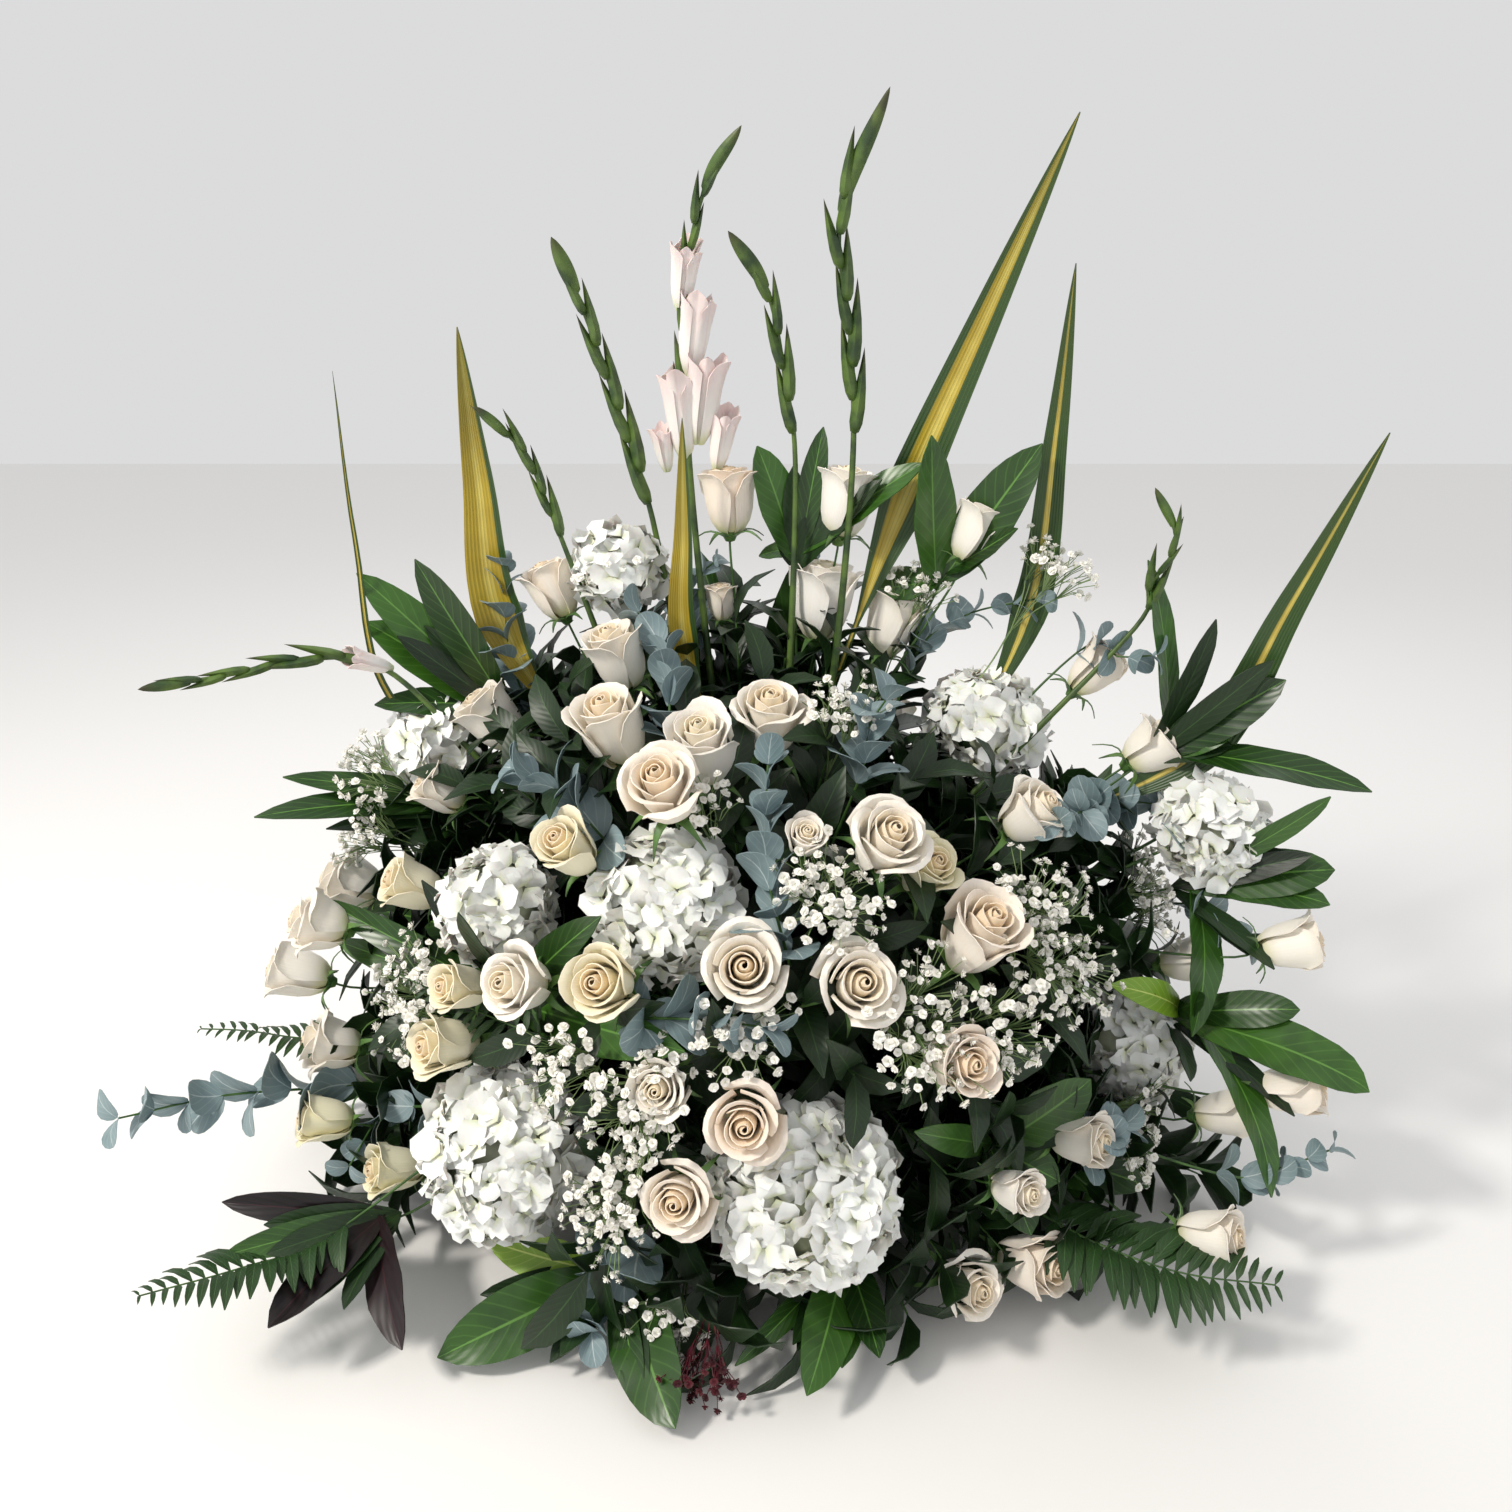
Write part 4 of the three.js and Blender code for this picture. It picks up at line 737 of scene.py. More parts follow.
# %% [markdown]
# ## Stems and leafy stalks by rule
# What repeats along a stem is a job for Geometry Nodes: the line is cut into even steps, a leaf is set at
# each step and turned on from the last one, and the tree's inputs are the things a botanist would measure.
# A pair of leaves a quarter turn from the next gives eucalyptus, half turns give the two ranks of a
# gladiolus, and leaflets rolled into one plane give a fern. Setting each leaf by hand would take thousands
# of places. The result is made real and kept as a mesh.

# %% Trees are built and run in one way
def tree_with(name, inputs):
    """A new tree with named inputs. Returns it, and its input sockets by name."""
    tree = bpy.data.node_groups.new(name, "GeometryNodeTree")
    tree.interface.new_socket("Geometry", in_out="OUTPUT", socket_type="NodeSocketGeometry")
    tree.interface.new_socket("Geometry", in_out="INPUT", socket_type="NodeSocketGeometry")
    for label, kind in inputs.items():
        tree.interface.new_socket(label, in_out="INPUT", socket_type="NodeSocket" + kind)
    return tree, tree.nodes.new("NodeGroupInput").outputs


def grown(name, mesh, tree, values):
    """Runs a tree on a mesh and keeps the result as a plain object at the origin."""
    holder = link(bpy.data.objects.new(name, mesh))
    modifier = holder.modifiers.new(tree.name, "NODES")
    modifier.node_group = tree
    for item in tree.interface.items_tree:
        if item.in_out == "INPUT" and item.name in values:
            modifier[item.identifier] = values[item.name]
    evaluated = holder.evaluated_get(bpy.context.evaluated_depsgraph_get())
    result = bpy.data.meshes.new_from_object(evaluated)
    result.set_sharp_from_angle(angle=RIM_ANGLE)
    holder.modifiers.clear()
    holder.data = result
    return holder


def lines_mesh(name, lines):
    """A mesh of loose lines. Each line is (points, {attribute: values, ...})."""
    made = bpy.data.meshes.new(name)
    points, edges, marks = [], [], {}
    for line, values in lines:
        first = len(points)
        points += [tuple(p) for p in line]
        edges += [(first + i, first + i + 1) for i in range(len(line) - 1)]
        for key, value in values.items():
            marks.setdefault(key, []).extend(value)
    made.from_pydata(points, edges, [])
    for key, values in marks.items():
        if isinstance(values[0], Vector):
            spot = made.attributes.new(key, "FLOAT_VECTOR", "POINT")
            spot.data.foreach_set("vector", [c for v in values for c in v])
        else:
            made.attributes.new(key, "FLOAT", "POINT").data.foreach_set("value", values)
    return made


# %% What all trees share: a random draw, a turned copy with its own tone, and a tube
def draw(tree, low, high, seed, step):
    """A random number for each point. step keeps the draws of one tree apart."""
    own = add(tree, "ShaderNodeMath", {0: seed, 1: step}, operation="ADD")
    return add(tree, "FunctionNodeRandomValue", {"Min": low, "Max": high, "Seed": own})


def turned_on(tree, upright, x, y, z):
    """A rotation that is turned on from another one by three angles."""
    euler = add(tree, "ShaderNodeCombineXYZ", {"X": x, "Y": y, "Z": z})
    local = add(tree, "FunctionNodeEulerToRotation", {"Euler": euler})
    return add(
        tree, "FunctionNodeRotateRotation", {"Rotation": upright, "Rotate By": local}, rotation_space="LOCAL",
    )


def copies(tree, spots, thing, rotation, size, seed, step):
    """A copy of a thing on each spot, with a tone of its own. spots gives the points, and which to use."""
    shape = add(tree, "GeometryNodeObjectInfo", {"Object": thing}).outputs["Geometry"]
    placed = add(tree, "GeometryNodeInstanceOnPoints", {
        **spots, "Instance": shape, "Rotation": rotation, "Scale": size,
    })
    tone = draw(tree, 0.0, 1.0, seed, step)
    return add(
        tree, "GeometryNodeStoreNamedAttribute", {"Geometry": placed, "Name": "tone", "Value": tone},
        domain="INSTANCE",
    )


def made_real(tree, placed, look):
    """Copies turned into plain geometry, in their finish."""
    real = add(tree, "GeometryNodeRealizeInstances", {"Geometry": placed})
    return add(tree, "GeometryNodeSetMaterial", {"Geometry": real, "Material": look})


def tube(tree, curve, sides, radius, thickness, look):
    """A closed tube along a curve, for a stalk or a twig."""
    section = add(tree, "GeometryNodeCurvePrimitiveCircle", {"Resolution": sides, "Radius": radius})
    skin = add(tree, "GeometryNodeCurveToMesh", {
        "Curve": curve, "Profile Curve": section, "Scale": thickness, "Fill Caps": True,
    })
    return add(tree, "GeometryNodeSetMaterial", {"Geometry": skin, "Material": look})


# %% Leaves along a stalk
STALK_SIDES = 5
# Random draws set apart for each of the two ranks
DRAWS = 7


def stalk_tree():
    tree, inp = tree_with("Leaves along a stalk", {
        "Leaf": "Object", "Spacing": "Float", "Pairs": "Bool", "Turn": "Float", "Raise": "Float",
        "Roll": "Float", "Loose": "Float", "Stalk radius": "Float", "Seed": "Int",
        "Leaf finish": "Material", "Stalk finish": "Material",
    })
    curve = add(tree, "GeometryNodeMeshToCurve", {"Mesh": inp["Geometry"]})
    steps = add(tree, "GeometryNodeResampleCurve", {"Curve": curve, "Length": inp["Spacing"]}, mode="LENGTH")
    side = add(tree, "GeometryNodeInputNamedAttribute", {"Name": "side"}, data_type="FLOAT_VECTOR")
    axes = add(tree, "FunctionNodeAxesToRotation", {
        "Primary Axis": add(tree, "GeometryNodeInputTangent"), "Secondary Axis": side,
    }, primary_axis="Z", secondary_axis="X")
    marked = add(tree, "GeometryNodeInputNamedAttribute", {"Name": "leafy"})
    leafy = add(tree, "FunctionNodeCompare", {"A": marked, "B": 0.5})
    paired = add(tree, "FunctionNodeBooleanMath", {0: leafy, 1: inp["Pairs"]}, operation="AND")
    index = add(tree, "GeometryNodeInputIndex")
    turn = add(tree, "ShaderNodeMath", {0: index, 1: inp["Turn"]}, operation="MULTIPLY")
    less = add(tree, "ShaderNodeMath", {0: inp["Loose"], 1: -1.0}, operation="MULTIPLY")
    ranks = []
    for rank, chosen in enumerate((leafy, paired)):
        first = DRAWS * rank
        sway, nod, twist = (draw(tree, less, inp["Loose"], inp["Seed"], first + i) for i in range(3))
        around = add(tree, "ShaderNodeMath", {0: turn, 1: rank * math.pi}, operation="ADD")
        around = add(tree, "ShaderNodeMath", {0: around, 1: sway}, operation="ADD")
        lift = add(tree, "ShaderNodeMath", {0: inp["Raise"], 1: nod}, operation="ADD")
        lift = add(tree, "ShaderNodeMath", {0: lift, 1: -1.0}, operation="MULTIPLY")
        roll = add(tree, "ShaderNodeMath", {0: inp["Roll"], 1: 1.0 - 2 * rank}, operation="MULTIPLY")
        roll = add(tree, "ShaderNodeMath", {0: roll, 1: twist}, operation="ADD")
        given = add(tree, "GeometryNodeInputNamedAttribute", {"Name": "size"})
        varied = draw(tree, 0.82, 1.12, inp["Seed"], first + 3)
        size = add(tree, "ShaderNodeMath", {0: given, 1: varied}, operation="MULTIPLY")
        spots = {"Points": steps, "Selection": chosen}
        pose = turned_on(tree, axes, roll, lift, around)
        ranks.append(copies(tree, spots, inp["Leaf"], pose, size, inp["Seed"], first + 4))
    both = add(tree, "GeometryNodeJoinGeometry", {0: ranks})
    leaves = made_real(tree, both, inp["Leaf finish"])
    taper = add(tree, "ShaderNodeMapRange", {
        "Value": add(tree, "GeometryNodeSplineParameter"), "From Min": 0.4, "To Min": 1.0, "To Max": 0.5,
    }, interpolation_type="SMOOTHSTEP")
    stalk = tube(tree, curve, STALK_SIDES, inp["Stalk radius"], taper, inp["Stalk finish"])
    whole = add(tree, "GeometryNodeJoinGeometry", {0: [leaves, stalk]})
    smooth = add(tree, "GeometryNodeSetShadeSmooth", {"Geometry": whole})
    add(tree, "NodeGroupOutput", {0: smooth})
    return tree


STALK_TREE = stalk_tree()


def stalks(name, lines, leaf, spacing, turn, raised, look, stalk_look, radius, seed,
           pairs=False, roll=0.0, loose=0.15):
    """Grows leaves along lines with the stalk tree. Angles are in degrees."""
    return grown(name, lines_mesh(name, lines), STALK_TREE, {
        "Leaf": PATTERNS[leaf], "Spacing": spacing, "Pairs": pairs, "Turn": math.radians(turn),
        "Raise": math.radians(raised), "Roll": math.radians(roll), "Loose": loose, "Stalk radius": radius,
        "Seed": seed, "Leaf finish": FINISH[look], "Stalk finish": FINISH[stalk_look],
    })


def leafy_line(points, from_share, size_at, face=None, to_share=1.0):
    """A line for the stalk tree: leafy from a share on, its leaves sized by a function of what is left."""
    count = len(points)
    shares = [i / (count - 1) for i in range(count)]
    sides = []
    for i, point in enumerate(points):
        way = (points[min(i + 1, count - 1)] - points[max(i - 1, 0)]).normalized()
        sides.append(across(way, face if face else facing(point)))
    leafy = [1.0 if from_share <= s <= to_share else 0.0 for s in shares]
    sizes = [size_at(max(0.0, (s - from_share) / (1 - from_share))) for s in shares]
    return points, {"side": sides, "leafy": leafy, "size": sizes}


# The golden angle in degrees, by which each leaf of many plants stands on from the last
GOLDEN_TURN = 137.5
# A share that lies past the end of any line
NO_LEAVES = 2.0


def bare_stems(name, lines, radius, seed):
    """Cut stems from the same tree, which finds no place for a leaf on them."""
    bare = [leafy_line(line, NO_LEAVES, lambda share: 1.0) for line in lines]
    return stalks(
        name, bare, "lance_leaf", spacing=0.05, turn=90, raised=40, look="filler", stalk_look="stem",
        radius=radius, seed=seed,
    )


# %% [markdown]
# ## Leaves to repeat
# Three small leaves fill most of the bouquet: the round one of eucalyptus, a lance-shaped one, and the
# leaflet of a fern. Each is drawn once, one unit long, with a few dozen faces, because it is repeated
# hundreds of times. A finer leaf would not show at this size and would only make the model heavy.

# %% Leaf patterns, one unit long, that the tree repeats
def pattern(name, length_line, halves, fold, look, columns, thickness=0.012):
    skin = Skin()
    grid = blade_grid(length_line, halves, UP, fold, columns=columns)
    skin.add(*shell(grid, thickness), blade_marks(columns, len(length_line)), look)
    return skin.piece(name)


def bent_line(shares, droop, start=0.0):
    """A line one unit long that leaves level and droops."""
    heights = [0.12 * math.sin(math.pi * t) - droop * t * t for t in shares]
    return [Vector((start + (1 - start) * t, 0, height)) for t, height in zip(shares, heights)]


round_shares = (1 - np.cos(np.linspace(0, math.pi, 9))) / 2
round_halves = 0.42 * np.sqrt(np.clip(1 - np.abs(2 * round_shares - 1) ** 2.1, 0.002, 1))
leaf_shares = np.linspace(0, 1, 5)
lance_halves = np.maximum(0.19 * lance(leaf_shares, 0.7, 0.85), 0.006)
leaflet_halves = np.maximum(0.12 * lance(leaf_shares, 0.25, 0.5), 0.01)
PATTERNS = {
    "round_leaf": pattern(
        "round_leaf", bent_line(round_shares, 0.08, 0.03), round_halves, 0.12, "eucalyptus", 5,
    ),
    "lance_leaf": pattern("lance_leaf", bent_line(leaf_shares, 0.16), lance_halves, 0.3, "filler", 3),
    "leaflet": pattern("leaflet", bent_line(leaf_shares, 0.1), leaflet_halves, 0.2, "fern", 3, 0.02),
}
# A gladiolus bud in its bract is a keeled spindle, widest a third of the way along
BRACT_PROFILE = [(0, 0), (0.04, 0.08), (0.14, 0.12), (0.32, 0.125), (0.55, 0.095), (0.8, 0.045), (1.0, 0)]
bract = Skin()
bract.add(*spun(BRACT_PROFILE, 6, bend=0.05, flat=0.75), "bract")
PATTERNS["bract"] = bract.piece("bract")
print("patterns:", {name: len(thing.data.polygons) for name, thing in PATTERNS.items()})

# %% [markdown]
# ## Roses
# A rose is a spiral: each petal stands a golden angle on from the last, hugs the ones inside it, and opens
# further than they do. One formula gives the whole bloom, from the tight roll of the heart to the outer
# petals that curl back. Its profile is a curve whose control points slide with the petal's rank, so this is
# written as arithmetic on a grid of points. Copies of one petal could not change their curl like that.

# %% Where the blooms are, read off the front view as (across, down, width in mm, tone, lift)
ROSES = [
    [(728, 500, 54, .7), (845, 502, 58, .2), (975, 532, 50, .3), (720, 602, 32, .6)],
    [(890, 623, 58, .5), (822, 600, 66, .1, .3), (765, 722, 70, .4), (708, 748, 58, .2)],
    [(617, 658, 54, .4), (553, 590, 50, .6), (612, 730, 60, .5, .2), (663, 790, 68, .6)],
    [(493, 720, 56, .4), (570, 850, 48, .8), (440, 792, 42, .5), (413, 887, 48, .8)],
    [(350, 885, 66, .3), (318, 925, 60, .4), (298, 975, 52, .3)],
    [(330, 1045, 62, .4), (325, 1120, 44, .9), (395, 1170, 46, .9), (448, 1045, 50, .8)],
    [(520, 985, 62, .3), (462, 988, 42, .8), (608, 985, 54, .8), (663, 1085, 44, .3)],
    [(745, 970, 68, .5), (855, 985, 70, .4), (745, 1120, 62, .7), (680, 1195, 60, .6)],
    [(885, 843, 68, .4), (925, 872, 46, .9), (805, 840, 32, .3), (1030, 815, 62, .4)],
    [(977, 938, 66, .6, .7), (955, 1060, 54, .7), (1080, 1140, 48, .4)],
    [(965, 1285, 60, .4), (1030, 1262, 56, .6), (1015, 1190, 40, .3)],
    [(1153, 748, 62, .5), (1095, 670, 50, .6), (1290, 945, 50, .5), (1190, 960, 50, .4)],
    [(1225, 1113, 48, .5), (1290, 1090, 54, .6), (1210, 1235, 48, .5)],
]
HYDRANGEAS = [
    (505, 1150, 162), (805, 1190, 168), (665, 905, 128), (497, 905, 104), (985, 725, 120),
    (1210, 830, 104), (1130, 1040, 120), (432, 742, 88), (618, 566, 84),
]
# Those at the back are given as (compass, height, width in mm, tone), with angles in degrees
BACK_ROSES = [(140, 50, 56, .4), (165, 26, 58, .3), (196, 40, 60, .5), (230, 30, 56, .4)]
BACK_HYDRANGEA = (182, 8, 120)
# Roses (True) stand on the face and need room for their petals, hydrangeas (False) sit deeper and give way
LAYER = {True: 1, False: 0.9}
ROOM = {True: 0.56, False: 0.48}


class Bloom:
    """A flower head that may ease along its line of sight until it clears its neighbours."""

    def __init__(self, node, home, line, width, is_rose, tone=0.5, lift=0.0):
        self.node, self.home, self.line, self.tone, self.lift = node, home, line, tone, lift
        self.at = home.copy()
        self.width = width * MM
        self.radius = self.width * ROOM[is_rose]
        self.is_rose = is_rose


def seen_bloom(node, seen, is_rose):
    return Bloom(node, place(seen[:2], LAYER[is_rose]), sight(seen), seen[2], is_rose, *seen[3:])


def back_bloom(node, placed, is_rose):
    home = bearing(placed[0], placed[1], LAYER[is_rose])
    return Bloom(node, home, (home - HUB).normalized(), placed[2], is_rose, *placed[3:])


blooms = [seen_bloom(f"roses_{i + 1:02d}", seen, True) for i, group in enumerate(ROSES) for seen in group]
blooms += [back_bloom(f"roses_{len(ROSES) + 1:02d}", placed, True) for placed in BACK_ROSES]
blooms += [seen_bloom(f"hydrangea_{i + 1:02d}", seen, False) for i, seen in enumerate(HYDRANGEAS)]
blooms.append(back_bloom(f"hydrangea_{len(HYDRANGEAS) + 1:02d}", BACK_HYDRANGEA, False))

# %% Blooms ease apart along the line of sight, by the rule that set the solids
ROUNDS = 60
BACK_TO_LINE = 0.4


def push_apart(a, b):
    """Moves two blooms out of each other, the smaller one further."""
    between = a.at - b.at
    gap = between.length - (a.radius + b.radius)
    if gap < 0:
        way = between.normalized()
        share_of_a = b.width / (a.width + b.width)
        a.at -= way * (gap * share_of_a * 0.5)
        b.at += way * (gap * (1 - share_of_a) * 0.5)


for _ in range(ROUNDS):
    for a in blooms:
        for b in blooms:
            if a is not b:
                push_apart(a, b)
    for bloom in blooms:
        on_line = bloom.home + bloom.line * (bloom.at - bloom.home).dot(bloom.line)
        bloom.at = bloom.at.lerp(on_line, BACK_TO_LINE)
        bloom.at.z = max(bloom.at.z, FLOOR + bloom.radius)
print("blooms:", len(blooms))

# %% One petal of a rose
GOLDEN = math.pi * (3 - math.sqrt(5))
# Profile control points (radius, height) of a petal, as shares of the bloom's, for a heart petal, a middle
# one, and an outer one of an open and of an upright bloom
HEART_PETAL = [(0.05, 0.05), (0.26, 0.35), (0.30, 0.75), (0.12, 0.90), (0.05, 0.97)]
MIDDLE_PETAL = [(0.08, 0.02), (0.48, 0.24), (0.54, 0.62), (0.40, 0.86), (0.60, 0.92)]
OPEN_PETAL = [(0.10, 0.0), (0.80, 0.04), (0.82, 0.44), (0.84, 0.88), (1.14, 0.68)]
UPRIGHT_PETAL = [(0.10, 0.0), (0.80, 0.10), (0.86, 0.46), (0.66, 0.84), (1.02, 0.88)]
PETALS = 16
PETAL_ROWS = 8
PETAL_COLUMNS = 9


def bezier(points, t):
    """A curve of any degree through its first and last control point."""
    degree = len(points) - 1
    terms = [math.comb(degree, k) * t ** k * (1 - t) ** (degree - k) for k in range(degree + 1)]
    return sum(term[:, None] * np.array(point) for term, point in zip(terms, points))


def petal(random, k, outer, radius, height):
    """The grid of the petal that is the k-th from the heart, and its rank: 0 at the heart, 1 outside."""
    v = np.linspace(0, 1, PETAL_ROWS)
    u = np.linspace(-1, 1, PETAL_COLUMNS)
    rank = (k / (PETALS - 1)) ** 1.25
    rank = min(1.0, rank * (1.0 + 0.05 * random.standard_normal()))
    low, high = (HEART_PETAL, MIDDLE_PETAL) if rank < 0.5 else (MIDDLE_PETAL, outer)
    share = 2 * rank if rank < 0.5 else 2 * rank - 1
    control = [(a[0] + (b[0] - a[0]) * share, a[1] + (b[1] - a[1]) * share) for a, b in zip(low, high)]
    turn = k * GOLDEN + 0.15 * random.standard_normal()
    # A heart petal wraps a third of the way round each side, an outer one half as far
    spread = math.radians(118 - 62 * rank ** 0.6) * (0.94 + 0.12 * random.random())
    rounding = 1 - (0.10 + 0.14 * rank) * np.abs(u) ** 2.5 + 0.05 * rank * (1 - np.abs(u)) ** 1.5
    rows = np.clip(v[None, :] * rounding[:, None], 0, 1.02)
    profile = bezier(control, rows.ravel()).reshape(PETAL_COLUMNS, PETAL_ROWS, 2)
    narrow = 0.55 + 0.45 * np.sin(np.pi * v ** 0.9 * 0.62) ** 0.8
    angle = turn + spread * u[:, None] * narrow[None, :]
    # Outer petals wave and curl back at their rims, and each lies over the next one on one side
    ripple = 0.022 * np.sin(3 * u + 6 * random.random())[:, None] * (v ** 3)[None, :] * (0.4 + rank)
    curl = rank * (np.clip(np.abs(u) - 0.3, 0, 1) ** 2)[:, None] * (v ** 4)[None, :]
    overlap = 0.05 * u[:, None] * (0.6 + 0.6 * rank)
    r = radius * (profile[..., 0] + (ripple + 0.24 * curl + overlap) * np.minimum(1, 3 * profile[..., 0]))
    z = height * (profile[..., 1] + 0.5 * ripple * rank - 0.30 * curl)
    return np.stack([r * np.cos(angle), r * np.sin(angle), z], -1), rank


# %% A whole rose, with its sepals and its hip
# A bloom narrower than this, in metres, still stands upright
UPRIGHT_BELOW = 0.0585
# How full and how tall an upright bloom (True) and an open one (False) are, as shares of its width
FULLNESS = {True: 1.1, False: 0.95}
HEIGHT = {True: 1.2, False: 0.92}
DROOP = {True: 0.1, False: 0.5}
PETAL_THICKNESS = 0.0007
SEPALS = 5
SEPAL_ROWS = 6
SEPAL_COLUMNS = 3
SEPAL_THICKNESS = 0.0008
HIP_PROFILE = [(-0.10, 0), (-0.08, 0.08), (0.0, 0.12), (0.08, 0.15), (0.12, 0)]


def sepal(skin, base, way, radius, turn, upright):
    """One of the five green sepals under a bloom, which hang back from it."""
    t = np.linspace(0, 1, SEPAL_ROWS)
    out = radius * (0.2 + 0.95 * t)
    high = radius * (0.18 * np.sin(math.pi * t) - DROOP[upright] * t ** 2)
    line = np.stack([out * math.cos(turn), out * math.sin(turn), high], -1)
    halves = radius * np.maximum(0.16 * (1 - t) ** 0.8, 0.01)
    points, faces = shell(blade_grid(line, halves, UP, 0.2, columns=SEPAL_COLUMNS), SEPAL_THICKNESS)
    skin.add(stood(points, base, way), faces, blade_marks(SEPAL_COLUMNS, SEPAL_ROWS), "calyx")


def rose(skin, base, way, width, upright, tone, seed):
    """A whole bloom on its base: petals from the heart outward, then sepals and hip."""
    random = np.random.default_rng(seed)
    radius = FULLNESS[upright] * width / 2
    outer = UPRIGHT_PETAL if upright else OPEN_PETAL
    for k in range(PETALS):
        grid, rank = petal(random, k, outer, radius, HEIGHT[upright] * width)
        points, faces = shell(grid, PETAL_THICKNESS)
        marks = blade_marks(PETAL_COLUMNS, PETAL_ROWS, 1 - rank)
        skin.add(stood(points, base, way), faces, marks, "rose", tone)
    for k in range(SEPALS):
        sepal(skin, base, way, radius, k * 2 * math.pi / SEPALS + random.random() * 0.4, upright)
    points, faces, marks = spun(HIP_PROFILE, 8)
    skin.add(stood(points[:, [1, 2, 0]] * width, base, way), faces, marks, "calyx")


# %% [markdown]
# ## Inside the size of the solids
# A finer leaf can reach a little past the solid that it stands for. Cutting it off would leave a straight
# edge, and moving the whole piece would take it off its node, so only the corners near the floor, or near
# the sides of the frame's box, are pressed together in front of that plane. Every piece goes through this
# before it is made to ride.

# %% What every piece goes through at its end
BOX_LOW, BOX_HIGH = np.array(cad_box[0]), np.array(cad_box[1])
EASE = 0.006


def settled(piece):
    """Bends what would reach through the floor, or past the size of the solids, along that plane."""
    corners = np.empty(len(piece.data.vertices) * 3)
    piece.data.vertices.foreach_get("co", corners)
    corners = corners.reshape(-1, 3)
    for inside, plane in ((1, BOX_LOW), (-1, BOX_HIGH)):
        depth = inside * (corners - plane)
        short = EASE * np.exp(np.minimum(depth / EASE - 1, 0))
        corners = plane + inside * np.where(depth < EASE, short, depth)
    piece.data.vertices.foreach_set("co", corners.ravel())
    piece.data.update()


def ride(piece, slot, *nodes):
    settled(piece)
    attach(piece, "root")
    if nodes:
        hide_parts(*nodes)


# %% Grow every group of roses with its stems
rose_count = 0
for number in range(len(ROSES) + 1):
    node = f"roses_{number + 1:02d}"
    skin = Skin()
    stems = []
    for bloom in [bloom for bloom in blooms if bloom.node == node]:
        upright = bloom.width < UPRIGHT_BELOW or bloom.lift > 0
        way = (facing(bloom.at) + UP * bloom.lift).normalized()
        base = bloom.at - way * HEIGHT[upright] * bloom.width / 2
        rose(skin, base, way, bloom.width, upright, bloom.tone, rose_count)
        line, _ = route(node, [base - way * 0.03, base + way * 0.002])
        stems.append(leafy_line(line, 0.45, lambda share: 0.05 - 0.02 * share, to_share=0.85))
        rose_count += 1
    petals = skin.piece(node + "_blooms")
    leafy = stalks(
        node + "_stems", stems, "lance_leaf", spacing=0.045, turn=GOLDEN_TURN, raised=50, look="filler",
        stalk_look="stem", radius=0.0022, seed=number,
    )
    ride(petals, "rose_petals", node)
    ride(leafy, "rose_petals", node)
print("roses:", rose_count, "with", len(petals.data.polygons), "faces in the last group")

# %% [markdown]
# ## Hydrangeas
# A mophead hydrangea is a ball of many flat four-sepalled florets that crowd each other. Geometry Nodes
# scatter them over a ball so that no two are closer than a set distance, and tip each one a little at
# random. That keeps the cover even, as on the real head, where a plain random scatter leaves bald spots.

# %% One floret
FLORET_STALK = 0.16
RIM_POINTS = 7


def floret_pattern():
    """Four rounded sepals round a bead, one unit across."""
    skin = Skin()
    around = np.linspace(-2.2, 2.2, RIM_POINTS)
    out = 0.27 + 0.25 * np.cos(around)
    wide = 0.31 * np.sin(around) * (1 + 0.1 * np.cos(2 * around))
    corners = RIM_POINTS + 1
    for k in range(4):
        lift = FLORET_STALK + 0.03 * (-1) ** k
        curl = 0.09 * np.sin(1.4 * around + 1.9 * k) + 0.07 * np.cos(3 * around + k)
        rim = np.stack([out, wide, lift + 0.05 - 0.16 * np.abs(out - 0.25) + curl], -1)
        middle = [[0.26, 0, lift + 0.02], [0.26, 0, lift - 0.01]]
        points = np.concatenate([[[0.03, 0, lift - 0.05]], rim, middle])
        faces = []
        for a in range(corners):
            b = (a + 1) % corners
            faces += [[a, b, corners], [b, a, corners + 1]]
        marks = np.stack([points[:, 1] * 3, np.clip(points[:, 0] * 2, 0, 1), np.zeros(len(points))], -1)
        skin.add(turned_about(points, k * math.pi / 2), faces, marks, "hydrangea")
    return skin.piece("floret")


PATTERNS["floret"] = floret_pattern()
print("a floret has", len(PATTERNS["floret"].data.polygons), "faces")

# %% The tree that covers a head with florets
MOST_FLORETS = 60000.0
CORE_DEPTH = 0.003


